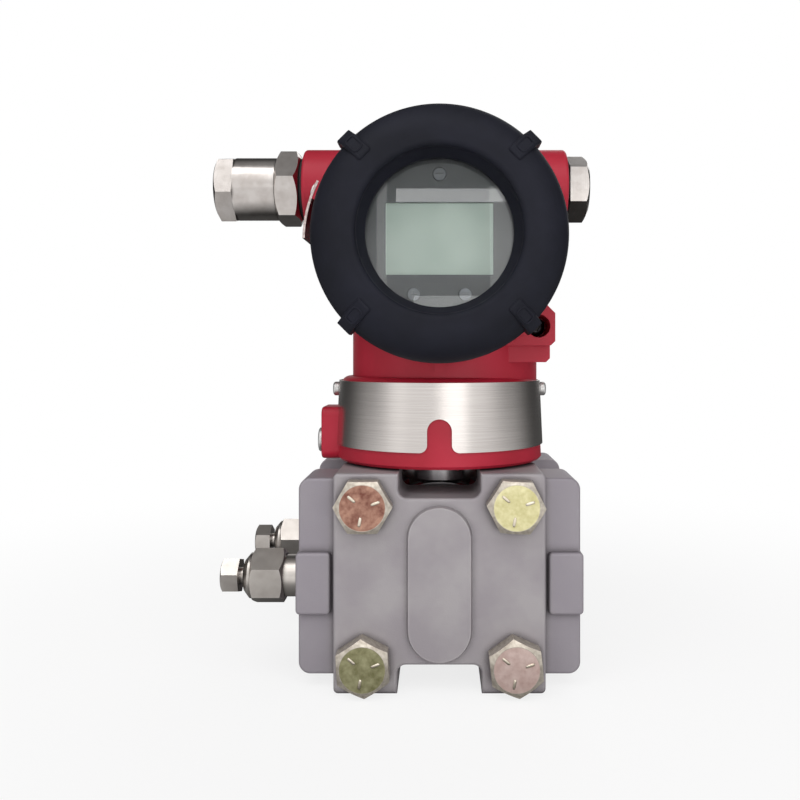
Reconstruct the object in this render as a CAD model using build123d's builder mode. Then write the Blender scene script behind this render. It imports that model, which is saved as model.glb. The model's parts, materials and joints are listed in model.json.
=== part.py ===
from build123d import *
from math import cos, radians, sin, sqrt, tan
import os

os.makedirs("parts", exist_ok=True)

# Differential pressure transmitter, in millimetres.
# Z = 0 is the underside of the two flanges, on which the transmitter stands on a bench.
# X = Y = 0 is the axis of the neck. The display faces -Y and the process ports face +X.
# Each finished piece is then moved, so that the origin is where a manifold mates: the centre of
# its bolt pattern on the flanges' port side.

# Clearances
turning_clear = 0.1
thread_clear = 0.05
assembly_clear = 0.2
joint_gap = 0.4

# Process flanges and their ports
port_spacing = 54.0
cell_gap = 27.0
flange_depth = 28.0
flange_width = 71.0
flange_height = 73.5
flange_corner = 1.6
top_notch_width = 27.5
top_notch_depth = 8.2
bottom_notch_width = 28.3
bottom_notch_depth = 9.6
notch_round = 3.0
wing_span = 96.0
wing_bottom = 4.5
wing_top_drop = 2.3
wing_depth = 22.5
wing_top_round = 4.0
wing_bottom_round = 4.0
casting_round = 1.0
port_drop = 0.95
port_pad_height = 21.0
port_pad_inset = 12.0
port_pad_proud = 0.7
port_pad_front_proud = 2.5
face_pad_width = 22.0
face_pad_height = 52.5
face_pad_proud = 1.8
npt_radius = 6.24
npt_depth = 15.0
feed_radius = 3.0
chamber_radius = 22.0
chamber_depth = 2.0
manifold_spacing = 41.3
manifold_tap_radius = 4.25
manifold_tap_depth = 14.0

# Flange bolts and nuts, M10
bolt_pattern_x = 50.5
bolt_pattern_z = 52.8
bolt_radius = 5.0
bolt_hole_clear = 0.5
bolt_across_flats = 17.0
bolt_head_height = 6.4
bolt_face = 0.9
bolt_stick_out = 3.0
nut_height = 8.0
bolt_turns = {(-1, 1): 0.0, (1, 1): -3.0, (-1, -1): 33.5, (1, -1): 36.0}

# Sensor cell and neck
capsule_radius = 30.0
capsule_waist = 28.4
capsule_waist_length = 13.0
gasket_thickness = 1.0
gasket_inner = 24.6
gasket_outer = 28.4
diaphragm_thickness = 0.3
diaphragm_radius = 24.0
diaphragm_seat_depth = 0.8
sensor_throat_radius = 11.6
sensor_neck_radius = 14.2
sensor_shaft_radius = 15.0
sensor_shaft_rise = 22.8
lock_groove_depth = 1.5
lock_groove_width = 7.0
neck_seal_rise = 17.3
neck_seal_section = 0.8

# Head casting. Rises are measured from the underside of its collar, drops from its own axis.
collar_gap = 0.7
head_rise = 77.8
head_half_length = 37.0
head_rim_radius = 41.0
head_rim_length = 8.0
head_waist_radius = 39.2
cover_bore_radius = 35.5
cover_bore_depth = 11.0
compartment_radius = 34.2
partition_front = 15.0
partition_thickness = 3.5
conduit_rise = 24.4
conduit_boss_radius = 14.8
conduit_left = 50.9
conduit_right = 47.6
conduit_bore_radius = 9.8
conduit_round = 1.2
neck_radius = 33.0
neck_lobe = 4.0
collar_radius = 38.7
collar_draft = 2.6
shoulder_rise = 31.0
shoulder_round = 3.5
neck_rib_width = 3.5
neck_rib_proud = 1.2
neck_rib_gap = 2.0
neck_rib_height = 8.0
core_inner = 20.5
core_outer = 33.0
core_depth = 23.3
core_rib = 12.0
neck_bore_depth = 26.8
passage_radius = 4.0
standoff_radius = 2.8
standoff_circle = 27.0
standoff_height = 7.0
standoff_angles = (90.0, 210.0, 330.0)

# Cover lock lug at the lower right of the head, and its screw
lug_front = 31.0
lug_thickness = 15.0
lug_right = 40.1
lug_drop = 35.6
lug_foot_right = 38.9
lug_foot_drop = 41.5
lug_foot_front = 26.0
lock_screw_x = 34.4
lock_screw_drop = 28.9
lock_counterbore = 4.0
lock_counterbore_depth = 9.5
lock_head_radius = 3.5
lock_head_height = 4.0
lock_shank_radius = 2.0
lock_shank_length = 5.0

# Boss and screw that lock the head's turning
boss_left = 44.2
boss_width = 18.0
boss_height = 19.4
boss_round = 3.0
turn_screw_rise = 6.4
turn_screw_radius = 2.5
turn_screw_head = 4.6
turn_screw_head_height = 1.9

# Stainless band round the neck
band_thickness = 0.7
band_rise = 5.8
band_height = 23.6
band_seam = 0.8
band_notch_width = 8.4
band_notch_height = 11.4
band_notch_flare = 2.7
band_screw_rise = 25.9
band_screw_head = 2.65
band_screw_head_height = 2.2
band_screw_radius = 1.5
band_screw_length = 6.0

# Thin curved plate on the left of the head
plate_radius = 47.0
plate_thickness = 0.8
plate_start = 153.5
plate_end = 178.6
plate_front = 34.0
plate_back = 15.6
plate_pad_angle = 157.0
plate_pad_width = 7.0
rivet_radius = 1.2
rivet_head_radius = 2.1
rivet_head_height = 0.8
rivet_length = 4.5
rivet_places = (21.0, 30.0)

# Covers
cover_radius = 41.6
cover_front = 62.0
cover_back = 60.0
cover_round = 11.0
back_round = 9.0
spigot_length = 9.6
spigot_inner = 31.0
lip_radius = 26.0
lip_round = 2.0
window_radius = 23.7
window_front = 54.0
window_thickness = 4.0
window_pocket = 28.7
retainer_thickness = 2.6
retainer_inner = 25.0
retainer_slot = 3.0
back_wall = 4.0
back_dish_radius = 25.0
back_dish_depth = 1.0
grip_inner = 32.3
grip_stand_out = 1.6
grip_width = 5.4
grip_proud = 1.3
grip_length = 14.0
grip_round = 0.9
cover_seal_section = 1.0
cover_seal_setback = 2.2

# Display module
display_front = 46.8
display_radius = 28.0
display_face_thickness = 1.5
display_wall = 1.6
display_shelf = 1.6
lcd_width = 37.6
lcd_height = 26.0
lcd_thickness = 2.2
lcd_drop = 1.0
lcd_border = 1.2
display_screw_radius = 1.2
display_screw_head = 2.25
display_screw_head_height = 0.9
display_screw_length = 8.0
display_screw_places = ((0.0, 19.9), (-8.4, -19.2), (8.4, -19.2))
display_post_radius = 3.0
board_thickness = 1.6
board_radius = 31.5

# Terminal block
terminal_radius = 31.5
terminal_top = 9.0
terminal_depth = 9.0
terminal_pitch = 13.0
terminal_drop = 4.0
terminal_screw_radius = 2.0
terminal_head_radius = 3.6
terminal_head_height = 2.2
terminal_screw_length = 7.0
barrier_thickness = 1.6
barrier_height = 4.0
barrier_length = 18.0

# Cable gland and blanking plug
gland_ring_thickness = 1.4
gland_ring_radius = 11.6
gland_hex_flats = 25.0
gland_hex_length = 9.2
gland_hex_turn = 9.0
gland_nut_radius = 11.8
gland_nut_length = 15.5
gland_cap_flats = 23.0
gland_cap_length = 7.1
gland_cap_turn = -14.0
gland_thread_length = 12.0
gland_bore = 6.5
gland_tail_radius = 9.2
gland_tail_length = 11.0
gland_seal_radius = 8.4
gland_seal_bore = 4.5
gland_seal_length = 9.0
gland_mouth = 7.0
plug_ring_thickness = 1.0
plug_ring_radius = 10.6
plug_hex_flats = 22.0
plug_hex_length = 7.4
plug_hex_turn = 30.0

# Vent valves
vent_hex_flats = 17.0
vent_neck_length = 4.9
vent_neck_radius = 7.2
vent_hex_length = 11.6
vent_cone_length = 2.6
vent_cone_radius = 7.8
vent_cone_tip = 5.6
vent_thread_length = 10.0
vent_stem_radius = 2.7
vent_stem_show = 1.9
vent_stem_depth = 13.0
vent_seat_radius = 1.2
vent_screw_flats = 11.0
vent_screw_length = 6.1
vent_turns = {"front": (25.0, 15.0), "rear": (13.0, 30.0)}

# Values worked out from the ones above
cell_half = cell_gap / 2
port_y = port_spacing / 2
flange_front = cell_half + flange_depth
wing_front = cell_half + wing_depth
wing_half = wing_span / 2
port_face = wing_half + port_pad_proud
bolt_z = flange_height / 2
port_z = bolt_z - port_drop
wing_top = flange_height - wing_top_drop
capsule_half = cell_half - gasket_thickness
collar_bottom = flange_height + collar_gap
shoulder_z = collar_bottom + shoulder_rise
core_top = collar_bottom + core_depth
neck_bore_top = collar_bottom + neck_bore_depth
neck_bore_radius = sensor_shaft_radius + turning_clear
sensor_shaft_top = collar_bottom + sensor_shaft_rise
neck_seal_z = collar_bottom + neck_seal_rise
turn_screw_z = collar_bottom + turn_screw_rise
band_bottom = collar_bottom + band_rise
band_top = band_bottom + band_height
band_screw_z = collar_bottom + band_screw_rise
head_z = collar_bottom + head_rise
conduit_z = head_z + conduit_rise
lug_bottom = head_z - lug_drop
lug_foot_bottom = head_z - lug_foot_drop
lock_screw_z = head_z - lock_screw_drop
spigot_radius = cover_bore_radius - turning_clear
spigot_end = head_half_length + joint_gap - spigot_length
cover_seat = head_half_length + joint_gap
window_back = window_front - window_thickness
retainer_back = window_back - retainer_thickness
display_back = partition_front + standoff_height + board_thickness
grip_outer = cover_radius + grip_stand_out
lcd_front = display_front - display_face_thickness
lcd_back = lcd_front - lcd_thickness
cover_seal_y = head_half_length - cover_seal_setback
thread_radius = conduit_bore_radius - thread_clear
head_axis = Axis((0, 0, head_z), (0, 1, 0))
head_plane = Plane.XY.offset(head_z)
to_manifold = Location((-wing_half, 0, -port_z))


def radial_plane(angle):
    """Plane through the head's axis: local x is the radius at this angle, local y is Y."""
    a = radians(angle)
    return Plane(origin=(0, 0, head_z), x_dir=(cos(a), 0, sin(a)), z_dir=(-sin(a), 0, cos(a)))


def face_plane(y, angle=0.0):
    """Plane across the head at this Y, facing -Y: local x is the radius at this angle."""
    a = radians(angle)
    return Plane(origin=(0, y, head_z), x_dir=(cos(a), 0, sin(a)), z_dir=(0, -1, 0))


def side_plane(x, y, z, toward=1):
    """Plane across an axis along X, facing +X or -X: local y is Z."""
    return Plane(origin=(x, y, z), x_dir=(0, toward, 0), z_dir=(toward, 0, 0))


def rivet_plane(radius, y):
    """Plane on the side plate's pad at this radius and Y, facing outwards."""
    across = radial_plane(plate_pad_angle)
    return Plane(origin=across.from_local_coords((radius, y, 0)), z_dir=across.x_dir)


def collar_at(z):
    """Radius of the tapered collar at this height."""
    return collar_radius - (z - collar_bottom) * tan(radians(collar_draft))


def chamfered_hex(flats, length, both_ends=False, face=0.93):
    """Hexagon bar from z = 0 up to its length, with its corners turned off at the top, or at both ends.

    The flat face left by the turning is this share of the width across flats.
    """
    face_radius = flats / 2 * face
    corner_radius = flats / 2 / cos(radians(30))
    drop = (corner_radius - face_radius) * 0.58
    low = drop if both_ends else 0.0
    low_radius = face_radius if both_ends else corner_radius
    with BuildPart() as bar:
        with BuildSketch():
            RegularPolygon(flats / 2, 6, major_radius=False)
        extrude(amount=length)
        with BuildSketch(Plane.XZ):
            with BuildLine():
                Polyline(
                    (0, 0),
                    (low_radius, 0),
                    (corner_radius + 0.01, low),
                    (corner_radius + 0.01, length - drop),
                    (face_radius, length),
                    (0, length),
                    close=True,
                )
            make_face()
        revolve(axis=Axis.Z, mode=Mode.INTERSECT)
    return bar.part


def screw(head_radius, head_height, shank_radius, shank_length, drive="cross"):
    """Pan-head screw: its seat is at z = 0, its head goes up and its shank down."""
    dome = head_height * 0.45
    with BuildPart() as piece:
        with BuildSketch():
            Circle(head_radius)
        extrude(amount=head_height)
        fillet(piece.faces().sort_by(Axis.Z)[-1].edges(), dome)
        with BuildSketch():
            Circle(shank_radius)
        extrude(amount=-shank_length)
        chamfer(piece.faces().sort_by(Axis.Z)[0].edges(), shank_radius * 0.3)
        with BuildSketch(Plane.XY.offset(head_height)):
            if drive == "cross":
                SlotOverall(head_radius * 1.2, head_radius * 0.24)
                SlotOverall(head_radius * 1.2, head_radius * 0.24, rotation=90)
            else:
                RegularPolygon(head_radius * 0.45, 6, major_radius=False)
        extrude(amount=-head_height * 0.55, mode=Mode.SUBTRACT)
    return piece.part


def ring(radius, section, y):
    """O-ring about the head's axis."""
    with BuildPart() as piece:
        with BuildSketch(head_plane):
            with Locations((radius, y)):
                Circle(section)
        revolve(axis=head_axis)
    return piece.part


# Head casting: two-compartment body, conduit bosses, neck and collar in one piece
with BuildPart() as housing_body:
    rim_step = head_rim_radius - head_waist_radius
    rim_inner = head_half_length - head_rim_length
    with BuildSketch(head_plane):
        with BuildLine():
            Polyline(
                (0, -head_half_length),
                (head_rim_radius - 0.8, -head_half_length),
                (head_rim_radius, -head_half_length + 0.8),
                (head_rim_radius, -rim_inner),
                (head_waist_radius, -rim_inner + rim_step),
                (head_waist_radius, rim_inner - rim_step),
                (head_rim_radius, rim_inner),
                (head_rim_radius, head_half_length - 0.8),
                (head_rim_radius - 0.8, head_half_length),
                (0, head_half_length),
                close=True,
            )
        make_face()
    revolve(axis=head_axis)

    # Neck, rounded shoulder and the tapered collar that the band wraps
    shoulder_radius = collar_at(shoulder_z - shoulder_round)
    with BuildSketch(Plane.XZ):
        with BuildLine():
            Polyline(
                (shoulder_radius - shoulder_round, shoulder_z),
                (neck_radius, shoulder_z),
                (neck_radius, head_z),
                (0, head_z),
                (0, collar_bottom),
                (collar_radius - 1, collar_bottom),
                (collar_at(collar_bottom + 1), collar_bottom + 1),
                (shoulder_radius, shoulder_z - shoulder_round),
            )
            CenterArc((shoulder_radius - shoulder_round, shoulder_z - shoulder_round), shoulder_round, 0, 90)
        make_face()
    revolve(axis=Axis.Z)
    with BuildSketch(Plane.XY.offset(shoulder_z - shoulder_round)):
        with Locations((neck_lobe, 0)):
            Circle(neck_radius)
    extrude(amount=head_z - shoulder_z + shoulder_round)

    # Alignment rib at the front of the neck, which stops above the shoulder
    with BuildSketch(Plane.XZ.offset(neck_radius - 2)):
        with Locations((0, shoulder_z + neck_rib_gap + neck_rib_height / 2)):
            RectangleRounded(neck_rib_width, neck_rib_height, neck_rib_width * 0.3)
    extrude(amount=2 + neck_rib_proud)

    # Conduit bosses, one bar across the head before it is hollowed
    with BuildSketch(side_plane(-conduit_left, 0, conduit_z)):
        Circle(conduit_boss_radius)
    extrude(amount=conduit_left + conduit_right)
    boss_ends = housing_body.faces().filter_by(Axis.X)
    fillet(boss_ends.sort_by(Axis.X)[0].edges() + boss_ends.sort_by(Axis.X)[-1].edges(), conduit_round)

    # Cover lock lug and its foot
    lug_root = lock_screw_x - 6 * lock_counterbore
    with BuildSketch(Plane.XZ.offset(lug_front)):
        with BuildLine():
            Polyline(
                (lug_root, lug_bottom),
                (lug_right - 1.5, lug_bottom),
                (lug_right, lug_bottom + 1.5),
                (lug_right, lock_screw_z + 4.5),
                (lug_right - 2.4, lock_screw_z + 6.9),
                (head_waist_radius - 9, head_z - 12),
                (lug_root, head_z - 12),
                close=True,
            )
        make_face()
    extrude(amount=-lug_thickness)
    with BuildSketch(Plane.XZ.offset(lug_foot_front)):
        with BuildLine():
            Polyline(
                (lug_root, lug_foot_bottom),
                (lug_foot_right - 1.4, lug_foot_bottom),
                (lug_foot_right, lug_foot_bottom + 1.4),
                (lug_foot_right, lock_screw_z),
                (lug_root, lock_screw_z),
                close=True,
            )
        make_face()
    extrude(amount=-lug_thickness)

    # Boss of the screw that locks the head's turning
    with BuildSketch(side_plane(-boss_left, 0, collar_bottom + boss_height / 2)):
        RectangleRounded(boss_width, boss_height, boss_round)
    extrude(amount=boss_left - neck_radius + 4)
    boss_face = housing_body.faces().filter_by(Axis.X).filter_by(lambda f: f.center().Z < shoulder_z)
    fillet(boss_face.sort_by(Axis.X)[0].edges(), 1.0)

    # Pad that carries the side plate
    pad_top = sqrt((plate_radius - plate_thickness) ** 2 - (plate_pad_width / 2) ** 2)
    with BuildSketch(face_plane(-plate_front, plate_pad_angle)):
        with Locations(((pad_top + compartment_radius) / 2, 0)):
            Rectangle(pad_top - compartment_radius, plate_pad_width)
    extrude(amount=plate_back - plate_front)

    # Front and rear compartments, each with the bore of its cover's thread
    for toward, floor_y in ((-1, -partition_front), (1, partition_thickness - partition_front)):
        bore_end = toward * (head_half_length - cover_bore_depth)
        with BuildSketch(head_plane):
            with BuildLine():
                Polyline(
                    (0, toward * head_half_length),
                    (cover_bore_radius + 0.8, toward * head_half_length),
                    (cover_bore_radius, toward * (head_half_length - 0.8)),
                    (cover_bore_radius, bore_end),
                    (compartment_radius, bore_end),
                    (compartment_radius, floor_y),
                    (0, floor_y),
                    close=True,
                )
            make_face()
        revolve(axis=head_axis, mode=Mode.SUBTRACT)

    # Conduit entries into the rear compartment
    for mouth in (-conduit_left, conduit_right):
        toward = 1 if mouth > 0 else -1
        with BuildSketch(side_plane(mouth, 0, conduit_z, toward)):
            Circle(conduit_bore_radius)
        extrude(amount=-(abs(mouth) - conduit_bore_radius * 2), mode=Mode.SUBTRACT)

    # Bore for the sensor's shaft, and the slanted cable passage above it
    with BuildSketch(Plane.XY.offset(collar_bottom)):
        Circle(neck_bore_radius)
    extrude(amount=neck_bore_top - collar_bottom, mode=Mode.SUBTRACT)
    passage_start = Vector(0, -partition_front - 9, head_z - compartment_radius + 5)
    passage_end = Vector(0, -neck_bore_radius / 2, neck_bore_top - 3)
    with BuildSketch(Plane(origin=passage_start, z_dir=passage_end - passage_start)):
        Circle(passage_radius)
    extrude(amount=(passage_end - passage_start).length, mode=Mode.SUBTRACT)

    # Cored-out ring under the collar, with four ribs left standing
    with BuildSketch(Plane.XY.offset(collar_bottom)):
        Circle(core_outer)
        Circle(core_inner, mode=Mode.SUBTRACT)
        Rectangle(2 * collar_radius, core_rib, mode=Mode.SUBTRACT)
        Rectangle(core_rib, 2 * collar_radius, mode=Mode.SUBTRACT)
        fillet(vertices(), 2.0)
    extrude(amount=core_top - collar_bottom, mode=Mode.SUBTRACT)

    # Standoffs for the circuit board
    with BuildSketch(Plane.XZ.offset(partition_front)):
        for angle in standoff_angles:
            with Locations(
                (standoff_circle * cos(radians(angle)), head_z + standoff_circle * sin(radians(angle)))
            ):
                Circle(standoff_radius)
    extrude(amount=standoff_height)

    # Holes for the cover lock screw, the turning lock screw, the band screws and the rivets
    band_seat = collar_at(band_screw_z - band_screw_head) + turning_clear + band_thickness
    with BuildSketch(Plane.XZ.offset(lug_front)):
        with Locations((lock_screw_x, lock_screw_z)):
            Circle(lock_counterbore)
    extrude(amount=-lock_counterbore_depth - lock_head_height, mode=Mode.SUBTRACT)
    with BuildSketch(Plane.XZ.offset(lug_front)):
        with Locations((lock_screw_x, lock_screw_z)):
            Circle(lock_shank_radius + thread_clear)
    lock_hole_depth = lock_counterbore_depth + lock_head_height + lock_shank_length + joint_gap
    extrude(amount=-lock_hole_depth, mode=Mode.SUBTRACT)
    with BuildSketch(side_plane(-boss_left, 0, turn_screw_z, -1)):
        Circle(turn_screw_radius + thread_clear)
    extrude(amount=-(boss_left - neck_bore_radius + 2), mode=Mode.SUBTRACT)
    for toward in (-1, 1):
        with BuildSketch(side_plane(toward * band_seat, 0, band_screw_z, toward)):
            Circle(band_screw_radius + thread_clear)
        extrude(amount=-band_screw_length - joint_gap, mode=Mode.SUBTRACT)
    for place in rivet_places:
        with BuildSketch(rivet_plane(pad_top, -place)):
            Circle(rivet_radius + thread_clear)
        extrude(amount=-rivet_length, mode=Mode.SUBTRACT)
housing_body.part.label = "housing_body"
housing_body.part.move(to_manifold)
export_step(housing_body.part, "parts/housing_body.step")


# Covers: screwed into the head from each end, each with four grip lugs
def grip(angle, inner_y, outer_y, root_y):
    """Grip lug on a cover at this angle: a rounded bar that runs out over the cover's shoulder."""
    with BuildPart() as lug:
        with BuildSketch(radial_plane(angle)):
            with BuildLine():
                Polyline(
                    (grip_inner, inner_y * 0.9),
                    (grip_inner, inner_y),
                    (grip_outer - 3.6, inner_y + (outer_y - inner_y) * 0.35),
                    (grip_outer, outer_y),
                    (grip_outer, root_y),
                    (grip_outer - 6, root_y),
                    close=True,
                )
            make_face()
        extrude(amount=grip_width / 2, both=True)
        fillet(lug.edges().filter_by_position(Axis.Y, min(inner_y, outer_y) - 1, max(inner_y, outer_y) + 1),
               grip_round)
    return lug.part


with BuildPart() as front_cover:
    with BuildSketch(head_plane):
        with BuildLine():
            Polyline(
                (spigot_inner, -retainer_back + 1.4),
                (spigot_inner, -spigot_end),
                (spigot_radius - 0.8, -spigot_end),
                (spigot_radius, -spigot_end - 0.8),
                (spigot_radius, -cover_seat),
                (cover_radius - 0.8, -cover_seat),
                (cover_radius, -cover_seat - 0.8),
                (cover_radius, -cover_front + cover_round),
            )
            CenterArc((cover_radius - cover_round, -cover_front + cover_round), cover_round, 0, -90)
            Line((cover_radius - cover_round, -cover_front), (lip_radius + lip_round, -cover_front))
            CenterArc((lip_radius + lip_round, -cover_front + lip_round), lip_round, 270, -90)
            Polyline(
                (lip_radius, -cover_front + lip_round),
                (window_radius, -window_front - 1.2),
                (window_radius, -window_front),
                (window_pocket, -window_front),
                (window_pocket, -retainer_back),
                (spigot_inner, -retainer_back + 1.4),
            )
        make_face()
    revolve(axis=head_axis)
    for angle in (45, 135, 225, 315):
        add(grip(angle, -cover_front - 0.7, -cover_front + 6, -cover_front + grip_length))
    with BuildSketch(head_plane):
        with Locations((spigot_radius, -cover_seal_y)):
            Rectangle(4 * cover_seal_section + 0.4, 2 * cover_seal_section + 0.6)
    revolve(axis=head_axis, mode=Mode.SUBTRACT)
front_cover.part.label = "front_cover"
front_cover.part.move(to_manifold)
export_step(front_cover.part, "parts/front_cover.step")

with BuildPart() as rear_cover:
    with BuildSketch(head_plane):
        with BuildLine():
            Polyline(
                (0, cover_back - back_wall - back_dish_depth),
                (spigot_inner, cover_back - back_wall - back_dish_depth),
                (spigot_inner, spigot_end),
                (spigot_radius - 0.8, spigot_end),
                (spigot_radius, spigot_end + 0.8),
                (spigot_radius, cover_seat),
                (cover_radius - 0.8, cover_seat),
                (cover_radius, cover_seat + 0.8),
                (cover_radius, cover_back - back_round),
            )
            CenterArc((cover_radius - back_round, cover_back - back_round), back_round, 0, 90)
            Polyline(
                (cover_radius - back_round, cover_back),
                (back_dish_radius + back_dish_depth, cover_back),
                (back_dish_radius, cover_back - back_dish_depth),
                (0, cover_back - back_dish_depth),
                (0, cover_back - back_wall - back_dish_depth),
            )
        make_face()
    revolve(axis=head_axis)
    for angle in (45, 135, 225, 315):
        add(grip(angle, cover_back + 0.7, cover_back - 6, cover_back - grip_length))
    with BuildSketch(head_plane):
        with Locations((spigot_radius, cover_seal_y)):
            Rectangle(4 * cover_seal_section + 0.4, 2 * cover_seal_section + 0.6)
    revolve(axis=head_axis, mode=Mode.SUBTRACT)
rear_cover.part.label = "rear_cover"
rear_cover.part.move(to_manifold)
export_step(rear_cover.part, "parts/rear_cover.step")

cover_seal_radius = spigot_radius - cover_seal_section - turning_clear
with BuildPart() as front_cover_seal:
    add(ring(cover_seal_radius, cover_seal_section, -cover_seal_y))
front_cover_seal.part.label = "front_cover_seal"
front_cover_seal.part.move(to_manifold)
export_step(front_cover_seal.part, "parts/front_cover_seal.step")

with BuildPart() as rear_cover_seal:
    add(ring(cover_seal_radius, cover_seal_section, cover_seal_y))
rear_cover_seal.part.label = "rear_cover_seal"
rear_cover_seal.part.move(to_manifold)
export_step(rear_cover_seal.part, "parts/rear_cover_seal.step")

with BuildPart() as window_glass:
    with BuildSketch(face_plane(-window_back)):
        Circle(window_pocket - assembly_clear)
    extrude(amount=window_thickness)
    chamfer(window_glass.edges(), 0.3)
window_glass.part.label = "window_glass"
window_glass.part.move(to_manifold)
export_step(window_glass.part, "parts/window_glass.step")

with BuildPart() as window_retainer:
    with BuildSketch(face_plane(-retainer_back)):
        Circle(window_pocket - turning_clear)
        Circle(retainer_inner, mode=Mode.SUBTRACT)
    extrude(amount=retainer_thickness)
    with BuildSketch(face_plane(-retainer_back)):
        Rectangle(2 * window_pocket + 2, retainer_slot)
    extrude(amount=retainer_thickness / 2, mode=Mode.SUBTRACT)
window_retainer.part.label = "window_retainer"
window_retainer.part.move(to_manifold)
export_step(window_retainer.part, "parts/window_retainer.step")

# Display module: a cup on the circuit board, with its liquid-crystal panel behind a face plate
with BuildPart() as display_face:
    with BuildSketch(face_plane(-lcd_front)):
        Circle(display_radius)
        with Locations((0, -lcd_drop)):
            Rectangle(lcd_width - 2 * lcd_border, lcd_height - 2 * lcd_border, mode=Mode.SUBTRACT)
        with Locations(*display_screw_places):
            Circle(display_screw_radius + thread_clear, mode=Mode.SUBTRACT)
    extrude(amount=display_face_thickness)
display_face.part.label = "display_face"
display_face.part.move(to_manifold)
export_step(display_face.part, "parts/display_face.step")

with BuildPart() as lcd_panel:
    with BuildSketch(face_plane(-lcd_back)):
        with Locations((0, -lcd_drop)):
            Rectangle(lcd_width, lcd_height)
    extrude(amount=lcd_thickness)
lcd_panel.part.label = "lcd_panel"
lcd_panel.part.move(to_manifold)
export_step(lcd_panel.part, "parts/lcd_panel.step")

with BuildPart() as display_housing:
    with BuildSketch(face_plane(-display_back)):
        Circle(display_radius)
    extrude(amount=lcd_front - display_back)
    with BuildSketch(face_plane(-lcd_front)):
        Circle(display_radius - display_wall)
    extrude(amount=-lcd_thickness, mode=Mode.SUBTRACT)
    with BuildSketch(face_plane(-display_back)):
        Circle(display_radius - display_wall)
    extrude(amount=lcd_back - display_shelf - display_back, mode=Mode.SUBTRACT)
    with BuildSketch(face_plane(-display_back)):
        with Locations(*display_screw_places):
            Circle(display_post_radius)
    extrude(amount=lcd_front - display_back)
    with BuildSketch(face_plane(-lcd_front)):
        with Locations((0, -lcd_drop)):
            Rectangle(lcd_width + assembly_clear, lcd_height + assembly_clear)
    extrude(amount=-lcd_thickness, mode=Mode.SUBTRACT)
    with BuildSketch(face_plane(-lcd_front)):
        with Locations(*display_screw_places):
            Circle(display_screw_radius + thread_clear)
    extrude(amount=-display_screw_length, mode=Mode.SUBTRACT)
display_housing.part.label = "display_housing"
display_housing.part.move(to_manifold)
export_step(display_housing.part, "parts/display_housing.step")

with BuildPart() as display_screws:
    with Locations(face_plane(-display_front)):
        with Locations(*display_screw_places):
            add(screw(display_screw_head, display_screw_head_height, display_screw_radius, display_screw_length))
display_screws.part.label = "display_screws"
display_screws.part.move(to_manifold)
export_step(display_screws.part, "parts/display_screws.step")

with BuildPart() as circuit_board:
    with BuildSketch(face_plane(-display_back + board_thickness)):
        Circle(board_radius)
    extrude(amount=board_thickness)
    with BuildSketch(face_plane(-display_back + board_thickness)):
        with Locations((-9, 6), (10, -7)):
            Rectangle(11, 11)
        with Locations((11, 9), (-11, -9)):
            Circle(4)
    extrude(amount=-3)
circuit_board.part.label = "circuit_board"
circuit_board.part.move(to_manifold)
export_step(circuit_board.part, "parts/circuit_board.step")

# Terminal block in the rear compartment
terminal_back = -partition_front + partition_thickness
terminal_face = terminal_back + terminal_depth
terminal_places = [(-terminal_pitch, -terminal_drop), (0, -terminal_drop), (terminal_pitch, -terminal_drop)]
with BuildPart() as terminal_block:
    with BuildSketch(face_plane(terminal_back)):
        Circle(terminal_radius)
        with Locations((0, terminal_top + terminal_radius / 2)):
            Rectangle(2 * terminal_radius, terminal_radius, mode=Mode.SUBTRACT)
    extrude(amount=-terminal_depth)
    with BuildSketch(face_plane(terminal_face)):
        for i in range(len(terminal_places) + 1):
            with Locations(((i - len(terminal_places) / 2) * terminal_pitch, -terminal_drop)):
                Rectangle(barrier_thickness, barrier_length)
    extrude(amount=-barrier_height)
    with BuildSketch(face_plane(terminal_face)):
        with Locations(*terminal_places):
            Circle(terminal_screw_radius + thread_clear)
    extrude(amount=terminal_screw_length, mode=Mode.SUBTRACT)
terminal_block.part.label = "terminal_block"
terminal_block.part.move(to_manifold)
export_step(terminal_block.part, "parts/terminal_block.step")

with BuildPart() as terminal_screws:
    with Locations(Plane(origin=(0, terminal_face, head_z), x_dir=(-1, 0, 0), z_dir=(0, 1, 0))):
        with Locations(*terminal_places):
            add(screw(terminal_head_radius, terminal_head_height, terminal_screw_radius, terminal_screw_length))
terminal_screws.part.label = "terminal_screws"
terminal_screws.part.move(to_manifold)
export_step(terminal_screws.part, "parts/terminal_screws.step")

# Small pieces on the head
with BuildPart() as cover_lock_screw:
    with Locations(
        Plane(origin=(lock_screw_x, -lug_front + lock_counterbore_depth + lock_head_height, lock_screw_z),
              x_dir=(1, 0, 0), z_dir=(0, -1, 0))
    ):
        add(screw(lock_head_radius, lock_head_height, lock_shank_radius, lock_shank_length, drive="hex"))
cover_lock_screw.part.label = "cover_lock_screw"
cover_lock_screw.part.move(to_manifold)
export_step(cover_lock_screw.part, "parts/cover_lock_screw.step")

with BuildPart() as rotation_lock_screw:
    tip = boss_left - sensor_shaft_radius + lock_groove_depth - joint_gap
    with Locations(side_plane(-boss_left, 0, turn_screw_z, -1)):
        add(screw(turn_screw_head, turn_screw_head_height, turn_screw_radius, tip))
rotation_lock_screw.part.label = "rotation_lock_screw"
rotation_lock_screw.part.move(to_manifold)
export_step(rotation_lock_screw.part, "parts/rotation_lock_screw.step")

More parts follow.
